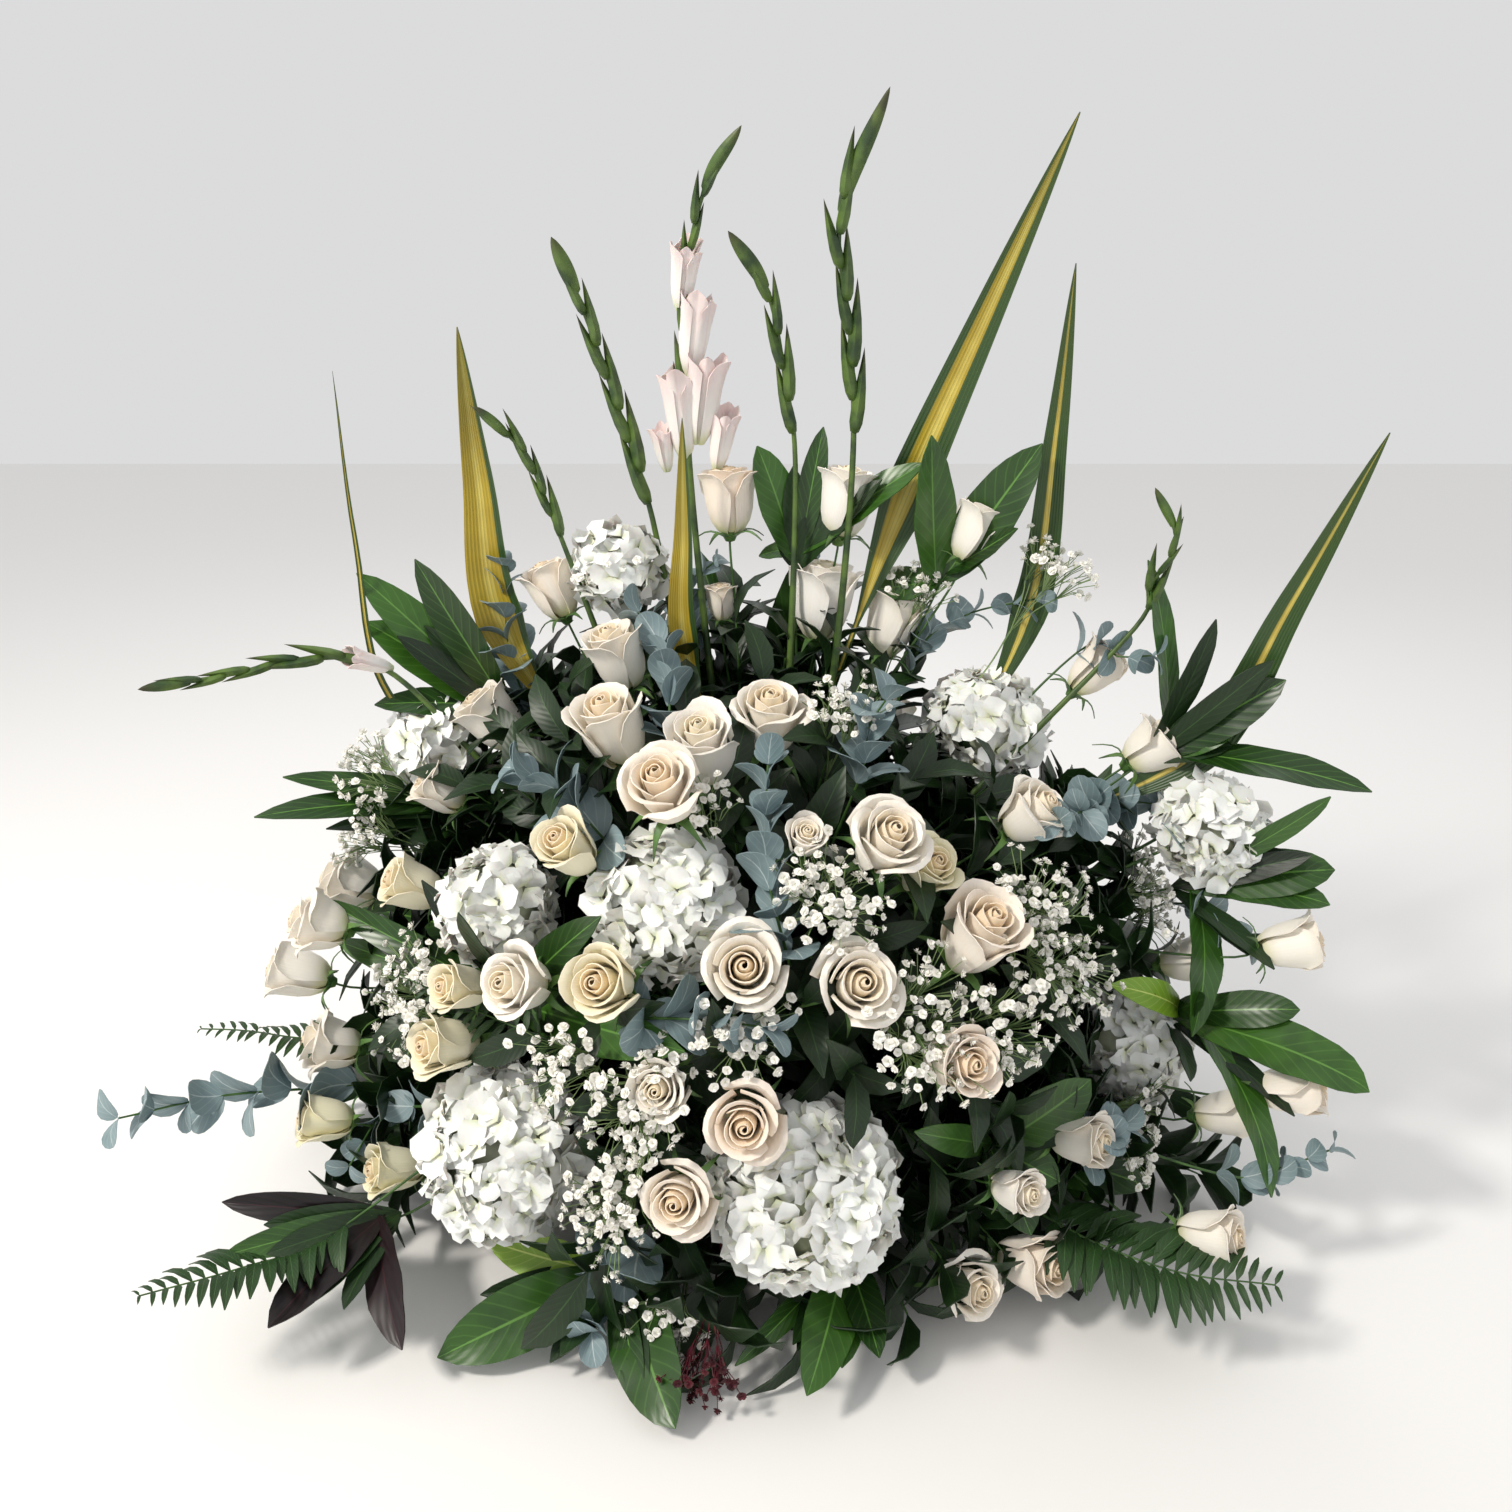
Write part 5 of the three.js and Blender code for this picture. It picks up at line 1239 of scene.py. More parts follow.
def head_tree():
    tree, inp = tree_with("Florets over a head", {
        "Floret": "Object", "Floret width": "Float", "Closest": "Float", "Tip": "Float", "Seed": "Int",
        "Floret finish": "Material",
    })
    spread = add(tree, "GeometryNodeDistributePointsOnFaces", {
        "Mesh": inp["Geometry"], "Distance Min": inp["Closest"], "Density Max": MOST_FLORETS,
        "Seed": inp["Seed"],
    }, distribute_method="POISSON")
    less = add(tree, "ShaderNodeMath", {0: inp["Tip"], 1: -1.0}, operation="MULTIPLY")
    tips = [draw(tree, less, inp["Tip"], inp["Seed"], step) for step in (1, 2)]
    spin = draw(tree, 0.0, 2 * math.pi, inp["Seed"], 3)
    pose = turned_on(tree, spread.outputs["Rotation"], *tips, spin)
    varied = draw(tree, 0.78, 1.15, inp["Seed"], 4)
    size = add(tree, "ShaderNodeMath", {0: inp["Floret width"], 1: varied}, operation="MULTIPLY")
    placed = copies(tree, {"Points": spread}, inp["Floret"], pose, size, inp["Seed"], 5)
    florets = made_real(tree, placed, inp["Floret finish"])
    normal = add(tree, "GeometryNodeInputNormal")
    inward = add(tree, "ShaderNodeVectorMath", {0: normal, "Scale": -CORE_DEPTH}, operation="SCALE")
    core = add(tree, "GeometryNodeSetPosition", {"Geometry": inp["Geometry"], "Offset": inward})
    whole = add(tree, "GeometryNodeJoinGeometry", {0: [florets, core]})
    add(tree, "NodeGroupOutput", {0: whole})
    return tree


HEAD_TREE = head_tree()

# %% Grow the heads
FLORET_WIDTH = 0.037
FLORET_GAP = 0.0145
FLORET_TIP = 0.7
CORE_SHARE = 0.80
CORE_FLATTEN = 0.88


def ball(at, way, width):
    """The core of a head: a smooth ball of rings, a little flat and a little lumpy. Its green-grey is partly
    the stalklets and partly painted shade in the gaps between florets.
    """
    profile = [(-math.cos(t), math.sin(t)) for t in np.linspace(0, math.pi, 9)]
    profile[0], profile[-1] = (-1.0, 0), (1.0, 0)
    points, faces, marks = spun(profile, 16)
    x, y, z = points.T
    lumps = 1 + 0.05 * np.sin(5 * x + 30 * width) * np.cos(4 * y + 2) * np.sin(3 * z)
    points = points[:, [1, 2, 0]] * lumps[:, None] * np.array([1, 1, CORE_FLATTEN]) * width / 2 * CORE_SHARE
    skin = Skin()
    skin.add(stood(points, at, way), faces, marks, "core", 0.8)
    return skin.mesh("core")


for number, bloom in enumerate([bloom for bloom in blooms if not bloom.is_rose]):
    way = facing(bloom.at)
    head = grown(bloom.node + "_head", ball(bloom.at, way, bloom.width), HEAD_TREE, {
        "Floret": PATTERNS["floret"], "Floret width": FLORET_WIDTH, "Closest": FLORET_GAP, "Tip": FLORET_TIP,
        "Seed": number, "Floret finish": FINISH["hydrangea"],
    })
    line, _ = route(bloom.node, [bloom.at - way * bloom.width * 0.22])
    stem = bare_stems(bloom.node + "_stem", [line], 0.003, number)
    ride(head, "hydrangea_florets", bloom.node)
    ride(stem, "hydrangea_florets", bloom.node)
    print(bloom.node, len(head.data.polygons), "faces")

# %% [markdown]
# ## Gladioli
# The spikes are picked before most of their flowers open: green bracts in two ranks, like a braid, a spear
# of the youngest ones pressed together at the top, and on two spikes the lowest blooms just showing colour.
# Modelling a whole spike as one shape would lose the overlaps that make it a braid, so the bracts are set by
# the stalk tree with half turns, and the stalk ends inside the spear. The open blooms are rolls of six
# petals, made by the same kind of profile curve as a rose petal.

# %% Where the spikes stand
# The path of each spike in the front view, and the length of its spear and of its lowest bracts in mm
GLADIOLI = [
    {"path": [(697, 470), (690, 300), (712, 190), (750, 125)], "spear": 62, "bract": 66},
    {"path": [(850, 470), (846, 340), (846, 205), (895, 80)], "spear": 105, "bract": 78},
    {"path": [(640, 520), (606, 390), (575, 300), (537, 240)], "spear": 58, "bract": 82},
    {"path": [(795, 470), (786, 380), (768, 295), (728, 232)], "spear": 62, "bract": 80},
    {"path": [(572, 560), (545, 500), (522, 448), (478, 405)], "spear": 40, "bract": 58},
    {"path": [(385, 680), (300, 664), (225, 680), (132, 697)], "spear": 48, "bract": 60},
    {"path": [(1130, 625), (1150, 585), (1177, 540), (1150, 485)], "spear": 45, "bract": 52},
]
# Open blooms of a spike: how far along it they start, how far they lean aside, how far aside they start in
# mm, and their length in mm
OPEN = {
    0: [(0.00, 0.20, 24, 58), (0.00, -0.12, -20, 42), (0.05, -0.05, -4, 82),
        (0.10, 0.16, 8, 80), (0.30, 0.14, 3, 76), (0.50, 0.06, -3, 58)],
    5: [(0.00, 0.10, 4, 46)],
}

# %% Spear of a spike, and a half-open bloom
THROAT_PETAL = [(0.16, 0.0), (0.42, 0.2), (0.46, 0.5), (0.40, 0.8), (0.60, 1.0)]
OPEN_PETALS = 6
OPEN_PETAL_THICKNESS = 0.0006
SPEAR_SIDES = 8


def climb(path, low, high, node=None):
    """Points along a path, each on its own layer, and where the frame's node has them."""
    last = len(path) - 1
    points = [place(seen, low + (high - low) * i / last) for i, seen in enumerate(path)]
    return [seat(node, point, 0.03, 3) for point in points] if node else points


def spear(skin, line, side, radius):
    """The youngest bracts, pressed into one point: a keeled spindle that follows the end of the line."""
    t = np.linspace(0, 1, len(line))
    widths = radius * np.maximum((0.45 + 2.2 * t) * (1 - t) ** 0.8, 0.02)
    side = np.array(side)
    out = np.cross(np.array(line[-1] - line[0]), side)
    out /= np.linalg.norm(out)
    points = [np.array(line[0])]
    for at, wide in zip(line[1:-1], widths[1:-1]):
        for k in range(SPEAR_SIDES):
            turn = k * 2 * math.pi / SPEAR_SIDES
            keel = 1.25 if k % 4 == 0 else 0.85
            points.append(np.array(at) + wide * keel * (math.cos(turn) * side + math.sin(turn) * out))
    points.append(np.array(line[-1]))
    _, faces, marks = spun([(i, 1) for i in range(len(line))], SPEAR_SIDES)
    skin.add(np.array(points), faces, marks, "bract")


def half_open(skin, base, way, length, seed):
    """A gladiolus bloom that is just opening: six petals rolled round each other into a tube."""
    random = np.random.default_rng(seed)
    t = np.linspace(0, 1, PETAL_ROWS)
    u = np.linspace(-1, 1, PETAL_COLUMNS)
    for k in range(OPEN_PETALS):
        shrink = 0.8 if k % 2 else 1.0
        tall = 0.86 + 0.16 * random.random()
        rows = t[None, :] * (1 - 0.20 * np.abs(u[:, None]) ** 1.5) * tall
        profile = bezier(THROAT_PETAL, rows.ravel()).reshape(PETAL_COLUMNS, PETAL_ROWS, 2)
        profile[..., 0] *= shrink * (0.9 + 0.2 * random.random())
        angle = k * 2 * math.pi / OPEN_PETALS + math.radians(50) * u[:, None] * np.ones(PETAL_ROWS)
        ripple = 1 + 0.14 * np.sin(5 * u + 6 * random.random())[:, None] * (t ** 3)[None, :]
        r = length * 0.42 * profile[..., 0] * ripple * (1 + 0.06 * u[:, None])
        grid = np.stack([r * np.cos(angle), r * np.sin(angle), length * profile[..., 1]], -1)
        points, faces = shell(grid, OPEN_PETAL_THICKNESS)
        skin.add(stood(points, base, way), faces, blade_marks(PETAL_COLUMNS, PETAL_ROWS), "gladiolus")


# %% Grow the spikes
BRACT_SPACING = 0.34
BRACT_SHRINK = 0.38
FULL_BRACT = 64
SPEAR_RADIUS = 0.0045
SPINE_STEP = 0.004
# How much of the spear's length is free of the stalk, and of bracts
FREE_OF_STALK = 0.6
FREE_OF_BRACTS = 0.75


def braid_of(number, node, path, spike, to_eye):
    """The stalk of a spike with its two ranks of bracts."""
    line, hidden = route(node, path)
    total = length_of(line)
    bract, top = spike["bract"] * MM, spike["spear"] * MM
    kept = 1 - FREE_OF_STALK * top / total
    inner = line[:round(len(line) * kept)]
    row = leafy_line(
        inner, (hidden + 0.01) / kept, lambda share: bract * (1 - BRACT_SHRINK * share), to_eye,
        (1 - FREE_OF_BRACTS * top / total) / kept,
    )
    return stalks(
        node + "_spike", [row], "bract", spacing=bract * BRACT_SPACING, turn=180, raised=80, look="bract",
        stalk_look="bract", radius=0.0036, seed=number, loose=0.03,
    )


for number, spike in enumerate(GLADIOLI):
    node = f"gladiolus_{number + 1:02d}"
    path = climb(spike["path"], 0.85, 1.0, node)
    to_eye = (EYE - path[1]).normalized()
    ride(braid_of(number, node, path, spike, to_eye), "gladiolus_spike", node)
    skin = Skin()
    spine = even(eased(path, 8), SPINE_STEP)
    across_spike = across(spine[-1] - spine[-8], to_eye)
    top = spine[-round(spike["spear"] * MM / SPINE_STEP):]
    spear(skin, top, across_spike, SPEAR_RADIUS * spike["bract"] / FULL_BRACT)
    for k, (share, lean, aside, length) in enumerate(OPEN.get(number, [])):
        i = int((len(spine) - 6) * share)
        way = (spine[i + 5] - spine[i]).normalized()
        side = -across(way, to_eye)
        base = spine[i] - side * aside * MM - to_eye * 0.004
        half_open(skin, base, (way - side * lean + to_eye * 0.10).normalized(), length * MM, 50 + k)
    ride(skin.piece(node + "_tops"), "gladiolus_spike", node)
print("last spike:", round(length_of(spine) * 1000), "mm of it shows")


# %% [markdown]
# ## Sword leaves and broad leaves
# Both are single blades that the arranger aimed one by one, so each is laid along its own given curve
# rather than scattered: the striped swords stand up behind the flowers, and the broad glossy leaves fan out
# of each shoot and frame the whole.

# %% Striped sword leaves
# The path of each blade in the front view, its width in mm, how golden it is, and how much nearer it stands
# than its layer, in mm
SWORDS = [
    [{"path": [(500, 620), (478, 480), (457, 327)], "width": 44, "gold": 1.0},
     {"path": [(392, 700), (340, 560), (299, 410)], "width": 7, "gold": 0.4}],
    [{"path": [(684, 640), (683, 530), (682, 418)], "width": 26, "gold": 0.8, "nearer": 45},
     {"path": [(905, 500), (985, 320), (1080, 112)], "width": 44, "gold": 0.45}],
    [{"path": [(1030, 610), (1078, 450), (1125, 285)], "width": 34, "gold": 0.2},
     {"path": [(1200, 750), (1290, 600), (1385, 425)], "width": 40, "gold": 0.15}],
]
BLADE_THICKNESS = 0.0009
SWORD_COLUMNS = 7


def moved_to_tip(node, path):
    """A path of three points, moved more and more towards its end, so that it ends where the node does."""
    shift = seat(node, path[-1], 0.05) - path[-1]
    return [p + shift * (i / 2) for i, p in enumerate(path)]


def sword(skin, node, path, width, gold, nearer=0):
    """One blade along its route: narrow in the foam, broad in the middle, and pointed."""
    spine = [p + (EYE - p).normalized() * nearer * MM for p in climb(path, 0.8, 1.0)]
    spine = moved_to_tip(node, spine)
    line, hidden = route(node, spine)
    t = (np.linspace(0, 1, len(line)) - hidden) / (1 - hidden)
    low = np.clip(1 + 2.6 * t, 0.12, 1)
    high = np.clip(1 - t, 0, 1) ** 0.75
    halves = width * MM / 2 * np.maximum(low * high, 0.02)
    face = (EYE - spine[0]).normalized()
    face.z = 0.2
    grid = blade_grid(line, halves, face, 0.22, 0.02, columns=SWORD_COLUMNS)
    skin.add(*shell(grid, BLADE_THICKNESS), blade_marks(SWORD_COLUMNS, len(line)), "sword", gold)


for number, group in enumerate(SWORDS):
    node = f"sword_leaves_{number + 1:02d}"
    skin = Skin()
    for blade in group:
        sword(skin, node, **blade)
    swords = skin.piece(node + "_blades")
    ride(swords, "sword_leaf", node)
    print(node, len(swords.data.polygons), "faces")

# %% Where the broad leaves are
# Where the leaves of a shoot part, and the tip of each leaf, its width in mm and its finish unless glossy
SHOOTS = [
    [{"part": (505, 705), "leaves": [(350, 583, 40), (362, 628, 42), (452, 535, 34), (375, 718, 32)]},
     {"part": (495, 800), "leaves": [(384, 842, 40), (288, 757, 26), (255, 793, 22), (262, 838, 30)]}],
    [{"part": (800, 545), "leaves": [(757, 446, 40), (822, 428, 24), (900, 452, 34), (752, 560, 20)]},
     {"part": (945, 570), "leaves": [(945, 430, 44), (1062, 458, 50), (872, 590, 40), (1040, 520, 30)],
      "layer": 0.93, "arch": -0.06, "inner": False}],
    [{"part": (1170, 745), "leaves": [(1286, 680, 40), (1240, 705, 40), (1372, 792, 34), (1148, 560, 26)]},
     {"part": (1195, 880), "leaves": [(1352, 873, 44), (1312, 824, 20), (1330, 905, 34), (1168, 1042, 38)],
      "arch": 0.22}],
    [{"part": (1190, 1010), "arch": 0.24,
      "leaves": [(1372, 1092, 52), (1300, 1010, 34), (1110, 985, 30, "lime"), (1290, 1190, 34)]},
     {"part": (1000, 1145), "leaves": [(1060, 1182, 42), (1042, 1252, 44), (915, 1132, 26), (1075, 1092, 46)],
      "layer": 1.06}],
    [{"part": (850, 1250), "leaves": [(842, 1368, 38), (888, 1362, 32), (812, 1408, 44), (735, 1366, 20)]},
     {"part": (610, 1275),
      "leaves": [(655, 1432, 56), (585, 1420, 24), (433, 1332, 54), (488, 1240, 38, "lime")]}],
    [{"part": (375, 1215),
      "leaves": [(222, 1256, 26), (222, 1202, 26, "plum"), (268, 1328, 40, "plum"), (402, 1350, 36, "plum")]},
     {"part": (505, 1000), "leaves": [(328, 912, 28), (335, 940, 30), (622, 928, 34), (700, 1072, 44)]}],
]
# The same at the back, each place as (compass, height) in degrees
BACK_SHOOTS = [
    {"part": (150, 30), "leaves": [(112, 14), (128, 44), (142, 2), (172, 58)]},
    {"part": (210, 26), "leaves": [(196, -4), (222, 2), (248, 22), (236, 50)]},
    {"part": (246, 4), "leaves": [(262, 12), (232, -12), (250, -20), (258, 36)]},
    {"part": (114, 2), "leaves": [(98, 8), (128, -14), (108, -18), (100, 34)]},
    {"part": (176, 64), "leaves": [(140, 80), (166, 40), (216, 78), (196, 46)]},
    {"part": (84, -8), "leaves": [(70, -14), (80, -19), (94, -16), (82, -2)]},
    {"part": (276, -8), "leaves": [(290, -14), (280, -19), (266, -16), (278, -2)]},
    {"part": (58, -12), "leaves": [(48, -18), (58, -22), (68, -20), (60, -8)]},
    {"part": (156, -8), "leaves": [(144, -16), (156, -20), (170, -16), (150, 4)]},
    {"part": (208, -8), "leaves": [(216, -18), (204, -22), (190, -16), (212, 6)]},
]
BACK_LEAF = 52
BACK_FROM = 0.09
ARCH = 0.10


# %% One broad leaf, and a shoot of them
LEAF_ROWS = 12
LEAF_COLUMNS = 7
INNER_LEAF = 24


def broad_leaf(skin, root, tip, width, look, seed, arch=ARCH):
    """A lance-shaped leaf from root to tip, arched, with its face to the light and a soft wave."""
    random = np.random.default_rng(seed)
    middle = (root + tip) / 2
    outward = (EYE - middle).normalized() if middle.y < BACK_FROM else UP
    face = (facing(middle) + 0.9 * outward).normalized()
    top = middle + face * (tip - root).length * (arch + 0.05 * random.random())
    t = np.linspace(0, 1, LEAF_ROWS)
    line = [root * (1 - s) ** 2 + top * 2 * s * (1 - s) + tip * s * s for s in t]
    halves = np.maximum(width * MM / 2 * lance(t, 0.75, 0.75), 0.0005)
    grid = blade_grid(line, halves, face, 0.18, 0.07, 6 * random.random(), columns=LEAF_COLUMNS)
    skin.add(*shell(grid, BLADE_THICKNESS), blade_marks(LEAF_COLUMNS, LEAF_ROWS), look, random.random())


def shoot(skin, node, seed, foot, leaves, arch=ARCH, inner=True):
    """Leaves that part from the end of one stem, with darker ones between them. Returns the stem's line."""
    end = foot + facing(foot) * 0.004
    start = foot - facing(foot) * 0.036
    tips = []
    for k, (tip, width, *look) in enumerate(leaves):
        tips.append(seat(node, tip, 0.07))
        tips[-1].z = max(tips[-1].z, FLOOR)
        root = start.lerp(end, 0.4 + 0.55 * k / len(leaves))
        broad_leaf(skin, root, tips[-1], width, look[0] if look else "glossy", 10 * seed + k, arch)
    for k, (a, b) in enumerate(zip(tips, [*tips[1:], tips[0]]) if inner else ()):
        between = end + ((a - end) * 0.5 + (b - end) * 0.5).normalized() * (a - end).length * 0.72
        between.z = max(between.z, FLOOR)
        broad_leaf(skin, start.lerp(end, 0.3), between, INNER_LEAF, "filler", 10 * seed + 5 + k)
    line, _ = route(node, [start, end])
    return line


# %% Grow the shoots, in front and at the back
def seen_shoot(part, leaves, layer=1.0, arch=ARCH, inner=True):
    placed = [(place(leaf[:2], layer), *leaf[2:]) for leaf in leaves]
    return place(part, 0.8 * layer), placed, arch, inner


def back_shoot(part, leaves):
    return bearing(*part, 0.72), [(bearing(*tip, 1.15), BACK_LEAF) for tip in leaves]


shoots = [[seen_shoot(**each) for each in group] for group in SHOOTS]
shoots.append([back_shoot(**each) for each in BACK_SHOOTS])
for number, group in enumerate(shoots):
    node = f"leafy_shoots_{number + 1:02d}"
    skin = Skin()
    stems = [shoot(skin, node, 2 * number + k, *each) for k, each in enumerate(group)]
    blades = skin.piece(node + "_leaves")
    bare = bare_stems(node + "_stems", stems, 0.002, number)
    ride(blades, "glossy_leaf", node)
    ride(bare, "glossy_leaf", node)
print("broad leaves in the last shoot:", len(blades.data.polygons), "faces")

# %% [markdown]
# ## Eucalyptus and fern
# Silver-dollar eucalyptus carries round waxed leaves in pairs, each pair a quarter turn from the next. A
# fern frond carries narrow leaflets that all lie in one plane. Both come out of the stalk tree with other
# numbers in its inputs, which is the point of giving a tree named inputs.

# %% Eucalyptus sprigs
# The path of each sprig in the front view, and the width of its lowest pair of leaves in mm
EUCALYPTUS = [
    [{"path": [(535, 720), (508, 655), (500, 575)], "width": 42},
     {"path": [(600, 835), (560, 790), (515, 770)], "width": 46}],
    [{"path": [(672, 740), (668, 665), (640, 612)], "width": 40},
     {"path": [(705, 640), (692, 590), (718, 566)], "width": 32}],
    [{"path": [(788, 960), (765, 860), (768, 765)], "width": 44},
     {"path": [(862, 770), (868, 728), (886, 700)], "width": 42}],
    [{"path": [(915, 655), (965, 615), (1035, 598)], "width": 34},
     {"path": [(1080, 650), (1118, 640), (1152, 660)], "width": 32}],
    [{"path": [(1180, 822), (1120, 812), (1060, 820)], "width": 40},
     {"path": [(1160, 905), (1205, 912), (1245, 935)], "width": 40}],
    [{"path": [(1050, 1150), (1085, 1122), (1122, 1135)], "width": 42},
     {"path": [(1225, 1175), (1285, 1165), (1330, 1150)], "width": 30}],
    [{"path": [(640, 1240), (602, 1280), (590, 1330)], "width": 46},
     {"path": [(640, 1012), (700, 1012), (765, 1025)], "width": 40}],
    [{"path": [(440, 1100), (385, 1108), (350, 1165)], "width": 36},
     {"path": [(345, 1085), (225, 1095), (118, 1118)], "width": 44}],
]
# Sprigs at the back, as (compass, height, width in mm)
BACK_EUCALYPTUS = [(150, 66, 38), (214, 58, 40)]
# The distance between pairs of leaves: the last front bunch is an open, long-jointed one
PAIR_SPACING = 0.0195
WIDE_SPACING = 0.0285


def back_path(compass, height):
    return [bearing(compass, height + 6 * i, layer) for i, layer in enumerate((0.8, 0.95, 1.1))]


def sprig_line(node, path, width):
    line, hidden = route(node, path)
    return leafy_line(line, hidden - 0.04, lambda share: width * MM * (1.14 - 0.45 * share))


for number in range(len(EUCALYPTUS) + 1):
    node = f"eucalyptus_{number + 1:02d}"
    if number < len(EUCALYPTUS):
        group = [(climb(each["path"], 0.92, 1.06, node), each["width"]) for each in EUCALYPTUS[number]]
    else:
        group = [(back_path(compass, height), width) for compass, height, width in BACK_EUCALYPTUS]
    lines = [sprig_line(node, path, width) for path, width in group]
    spacing = WIDE_SPACING if number == len(EUCALYPTUS) - 1 else PAIR_SPACING
    sprigs = stalks(
        node + "_sprigs", lines, "round_leaf", spacing=spacing, turn=90, raised=44, look="eucalyptus",
        stalk_look="stem", radius=0.0018, seed=number, pairs=True, loose=0.5,
    )
    ride(sprigs, "eucalyptus_leaf", node)
print("eucalyptus:", len(sprigs.data.polygons), "faces in the last bunch")

# %% Fern fronds
# The path of each frond in the front view, and its width in mm
FERNS = [
    [{"path": [(330, 1235), (240, 1280), (135, 1322)], "width": 84},
     {"path": [(560, 1042), (470, 1008), (400, 975)], "width": 46},
     {"path": [(330, 1040), (240, 1044), (185, 1056)], "width": 50}],
    [{"path": [(1060, 1225), (1170, 1270), (1275, 1285)], "width": 104}],
]


def frond(node, path, width):
    """The line of a frond, with leaflets that are longest a third of the way along."""
    path = moved_to_tip(node, climb(path, 0.86, 1.04))
    line, hidden = route(node, path)
    face = (facing(path[1]) + UP * 0.6).normalized()
    wide = width * MM
    return leafy_line(
        line, hidden - 0.02, lambda share: 0.56 * wide * min(1, 1.4 * (1.08 - share) ** 0.7), face,
    )


for number, group in enumerate(FERNS):
    node = f"fern_{number + 1:02d}"
    fronds = [frond(node, **each) for each in group]
    leaflets = stalks(
        node + "_fronds", fronds, "leaflet", spacing=0.0095, turn=0, raised=22, look="fern",
        stalk_look="stem", radius=0.0014, seed=number, pairs=True, roll=90, loose=0.09,
    )
    ride(leaflets, "fern_leaf", node)
print("fern:", len(leaflets.data.polygons), "faces")

# %% [markdown]
# ## Baby's breath
# It is a cloud: wiry twigs that fork and fork again, with a double floret the size of a pea at the end of
# each. Florets scattered in a ball would be quicker to make, but they would hang in the air. So the forking
# is arithmetic, with a fixed seed, and gives plain lines. A tree then gives the lines their thickness and
# puts a floret on every point that is marked as a flower. The small burgundy sprig of dried florets branches
# in the same way, so it comes from the same tree with another finish.

# %% Twig tree
TWIG_SIDES = 3
NOD = 0.7


def twig_tree():
    tree, inp = tree_with("Florets on twigs", {
        "Floret": "Object", "Twig radius": "Float", "Seed": "Int", "Floret finish": "Material",
        "Twig finish": "Material",
    })
    curve = add(tree, "GeometryNodeMeshToCurve", {"Mesh": inp["Geometry"]})
    thick = add(tree, "GeometryNodeInputNamedAttribute", {"Name": "thick"})
    twigs = tube(tree, curve, TWIG_SIDES, inp["Twig radius"], thick, inp["Twig finish"])
    way = add(tree, "GeometryNodeInputNamedAttribute", {"Name": "way"}, data_type="FLOAT_VECTOR")
    axes = add(tree, "FunctionNodeAxesToRotation", {
        "Primary Axis": way, "Secondary Axis": (1.0, 0.0, 0.1),
    }, primary_axis="Z", secondary_axis="X")
    nods = [draw(tree, -NOD, NOD, inp["Seed"], step) for step in (1, 2)]
    spin = draw(tree, 0.0, 2 * math.pi, inp["Seed"], 3)
    pose = turned_on(tree, axes, *nods, spin)
    flower = add(tree, "GeometryNodeInputNamedAttribute", {"Name": "flower"})
    chosen = add(tree, "FunctionNodeCompare", {"A": flower, "B": 0.0001})
    varied = draw(tree, 0.75, 1.2, inp["Seed"], 4)
    size = add(tree, "ShaderNodeMath", {0: flower, 1: varied}, operation="MULTIPLY")
    spots = {"Points": inp["Geometry"], "Selection": chosen}
    placed = copies(tree, spots, inp["Floret"], pose, size, inp["Seed"], 5)
    florets = made_real(tree, placed, inp["Floret finish"])
    whole = add(tree, "GeometryNodeJoinGeometry", {0: [florets, twigs]})
    add(tree, "NodeGroupOutput", {0: whole})
    return tree


TWIG_TREE = twig_tree()

# %% The double floret
# Rings of petals: how many, how far they reach, how high they rise, and where the first one points
PUFF_RINGS = [(5, 0.5, 0.05, 0.0), (3, 0.38, 0.26, 0.5), (2, 0.22, 0.42, 0.2)]
KITE_FACES = [[1, 2, 0], [2, 3, 0], [4, 1, 0], [4, 2, 1], [4, 3, 2], [4, 0, 3]]


def puff_pattern():
    """A double floret, one unit across: kite-shaped petals in three rising rings."""
    skin = Skin()
    for count, reach, rise, first in PUFF_RINGS:
        half = 0.24 * reach / 0.5 + 0.05
        kite = np.array([
            (0, 0, 0), (reach * 0.7, half, rise * 0.9), (reach, 0, rise), (reach * 0.7, -half, rise * 0.9),
            (reach * 0.55, 0, rise * 0.6 - 0.07),
        ])
        marks = np.stack([kite[:, 1], kite[:, 0] / reach, np.zeros(len(kite))], -1)
        for k in range(count):
            skin.add(turned_about(kite, first + 2 * math.pi * k / count), KITE_FACES, marks, "floret")
    return skin.piece("puff")


PATTERNS["puff"] = puff_pattern()
print("a double floret has", len(PATTERNS["puff"].data.polygons), "faces")

# %% Fork the twigs
# Sprays in the front view, as (across, down, width in mm)
SPRAYS = [
    [(340, 745, 60), (350, 812, 80), (400, 1000, 100)],
    [(600, 540, 90), (930, 560, 60), (1085, 520, 70)],
    [(850, 700, 60), (835, 890, 90), (700, 795, 50), (740, 1040, 70)],
    [(1060, 930, 120), (1165, 885, 90), (1150, 1130, 100), (1010, 1035, 70), (925, 1030, 100)],
    [(640, 1110, 90), (610, 1205, 90), (560, 1065, 70), (670, 1325, 70)],
]
SPRIG = (700, 1385, 60)
BOUGHS = 7
# Twigs for each square centimetre of a square as wide as the spray
TWIGS_EACH = 1.5


def plain(line, thick, way):
    """A line of a spray that carries no flower."""
    count = len(line)
    return line, {"thick": [thick] * count, "flower": [0.0] * count, "way": [way] * count}


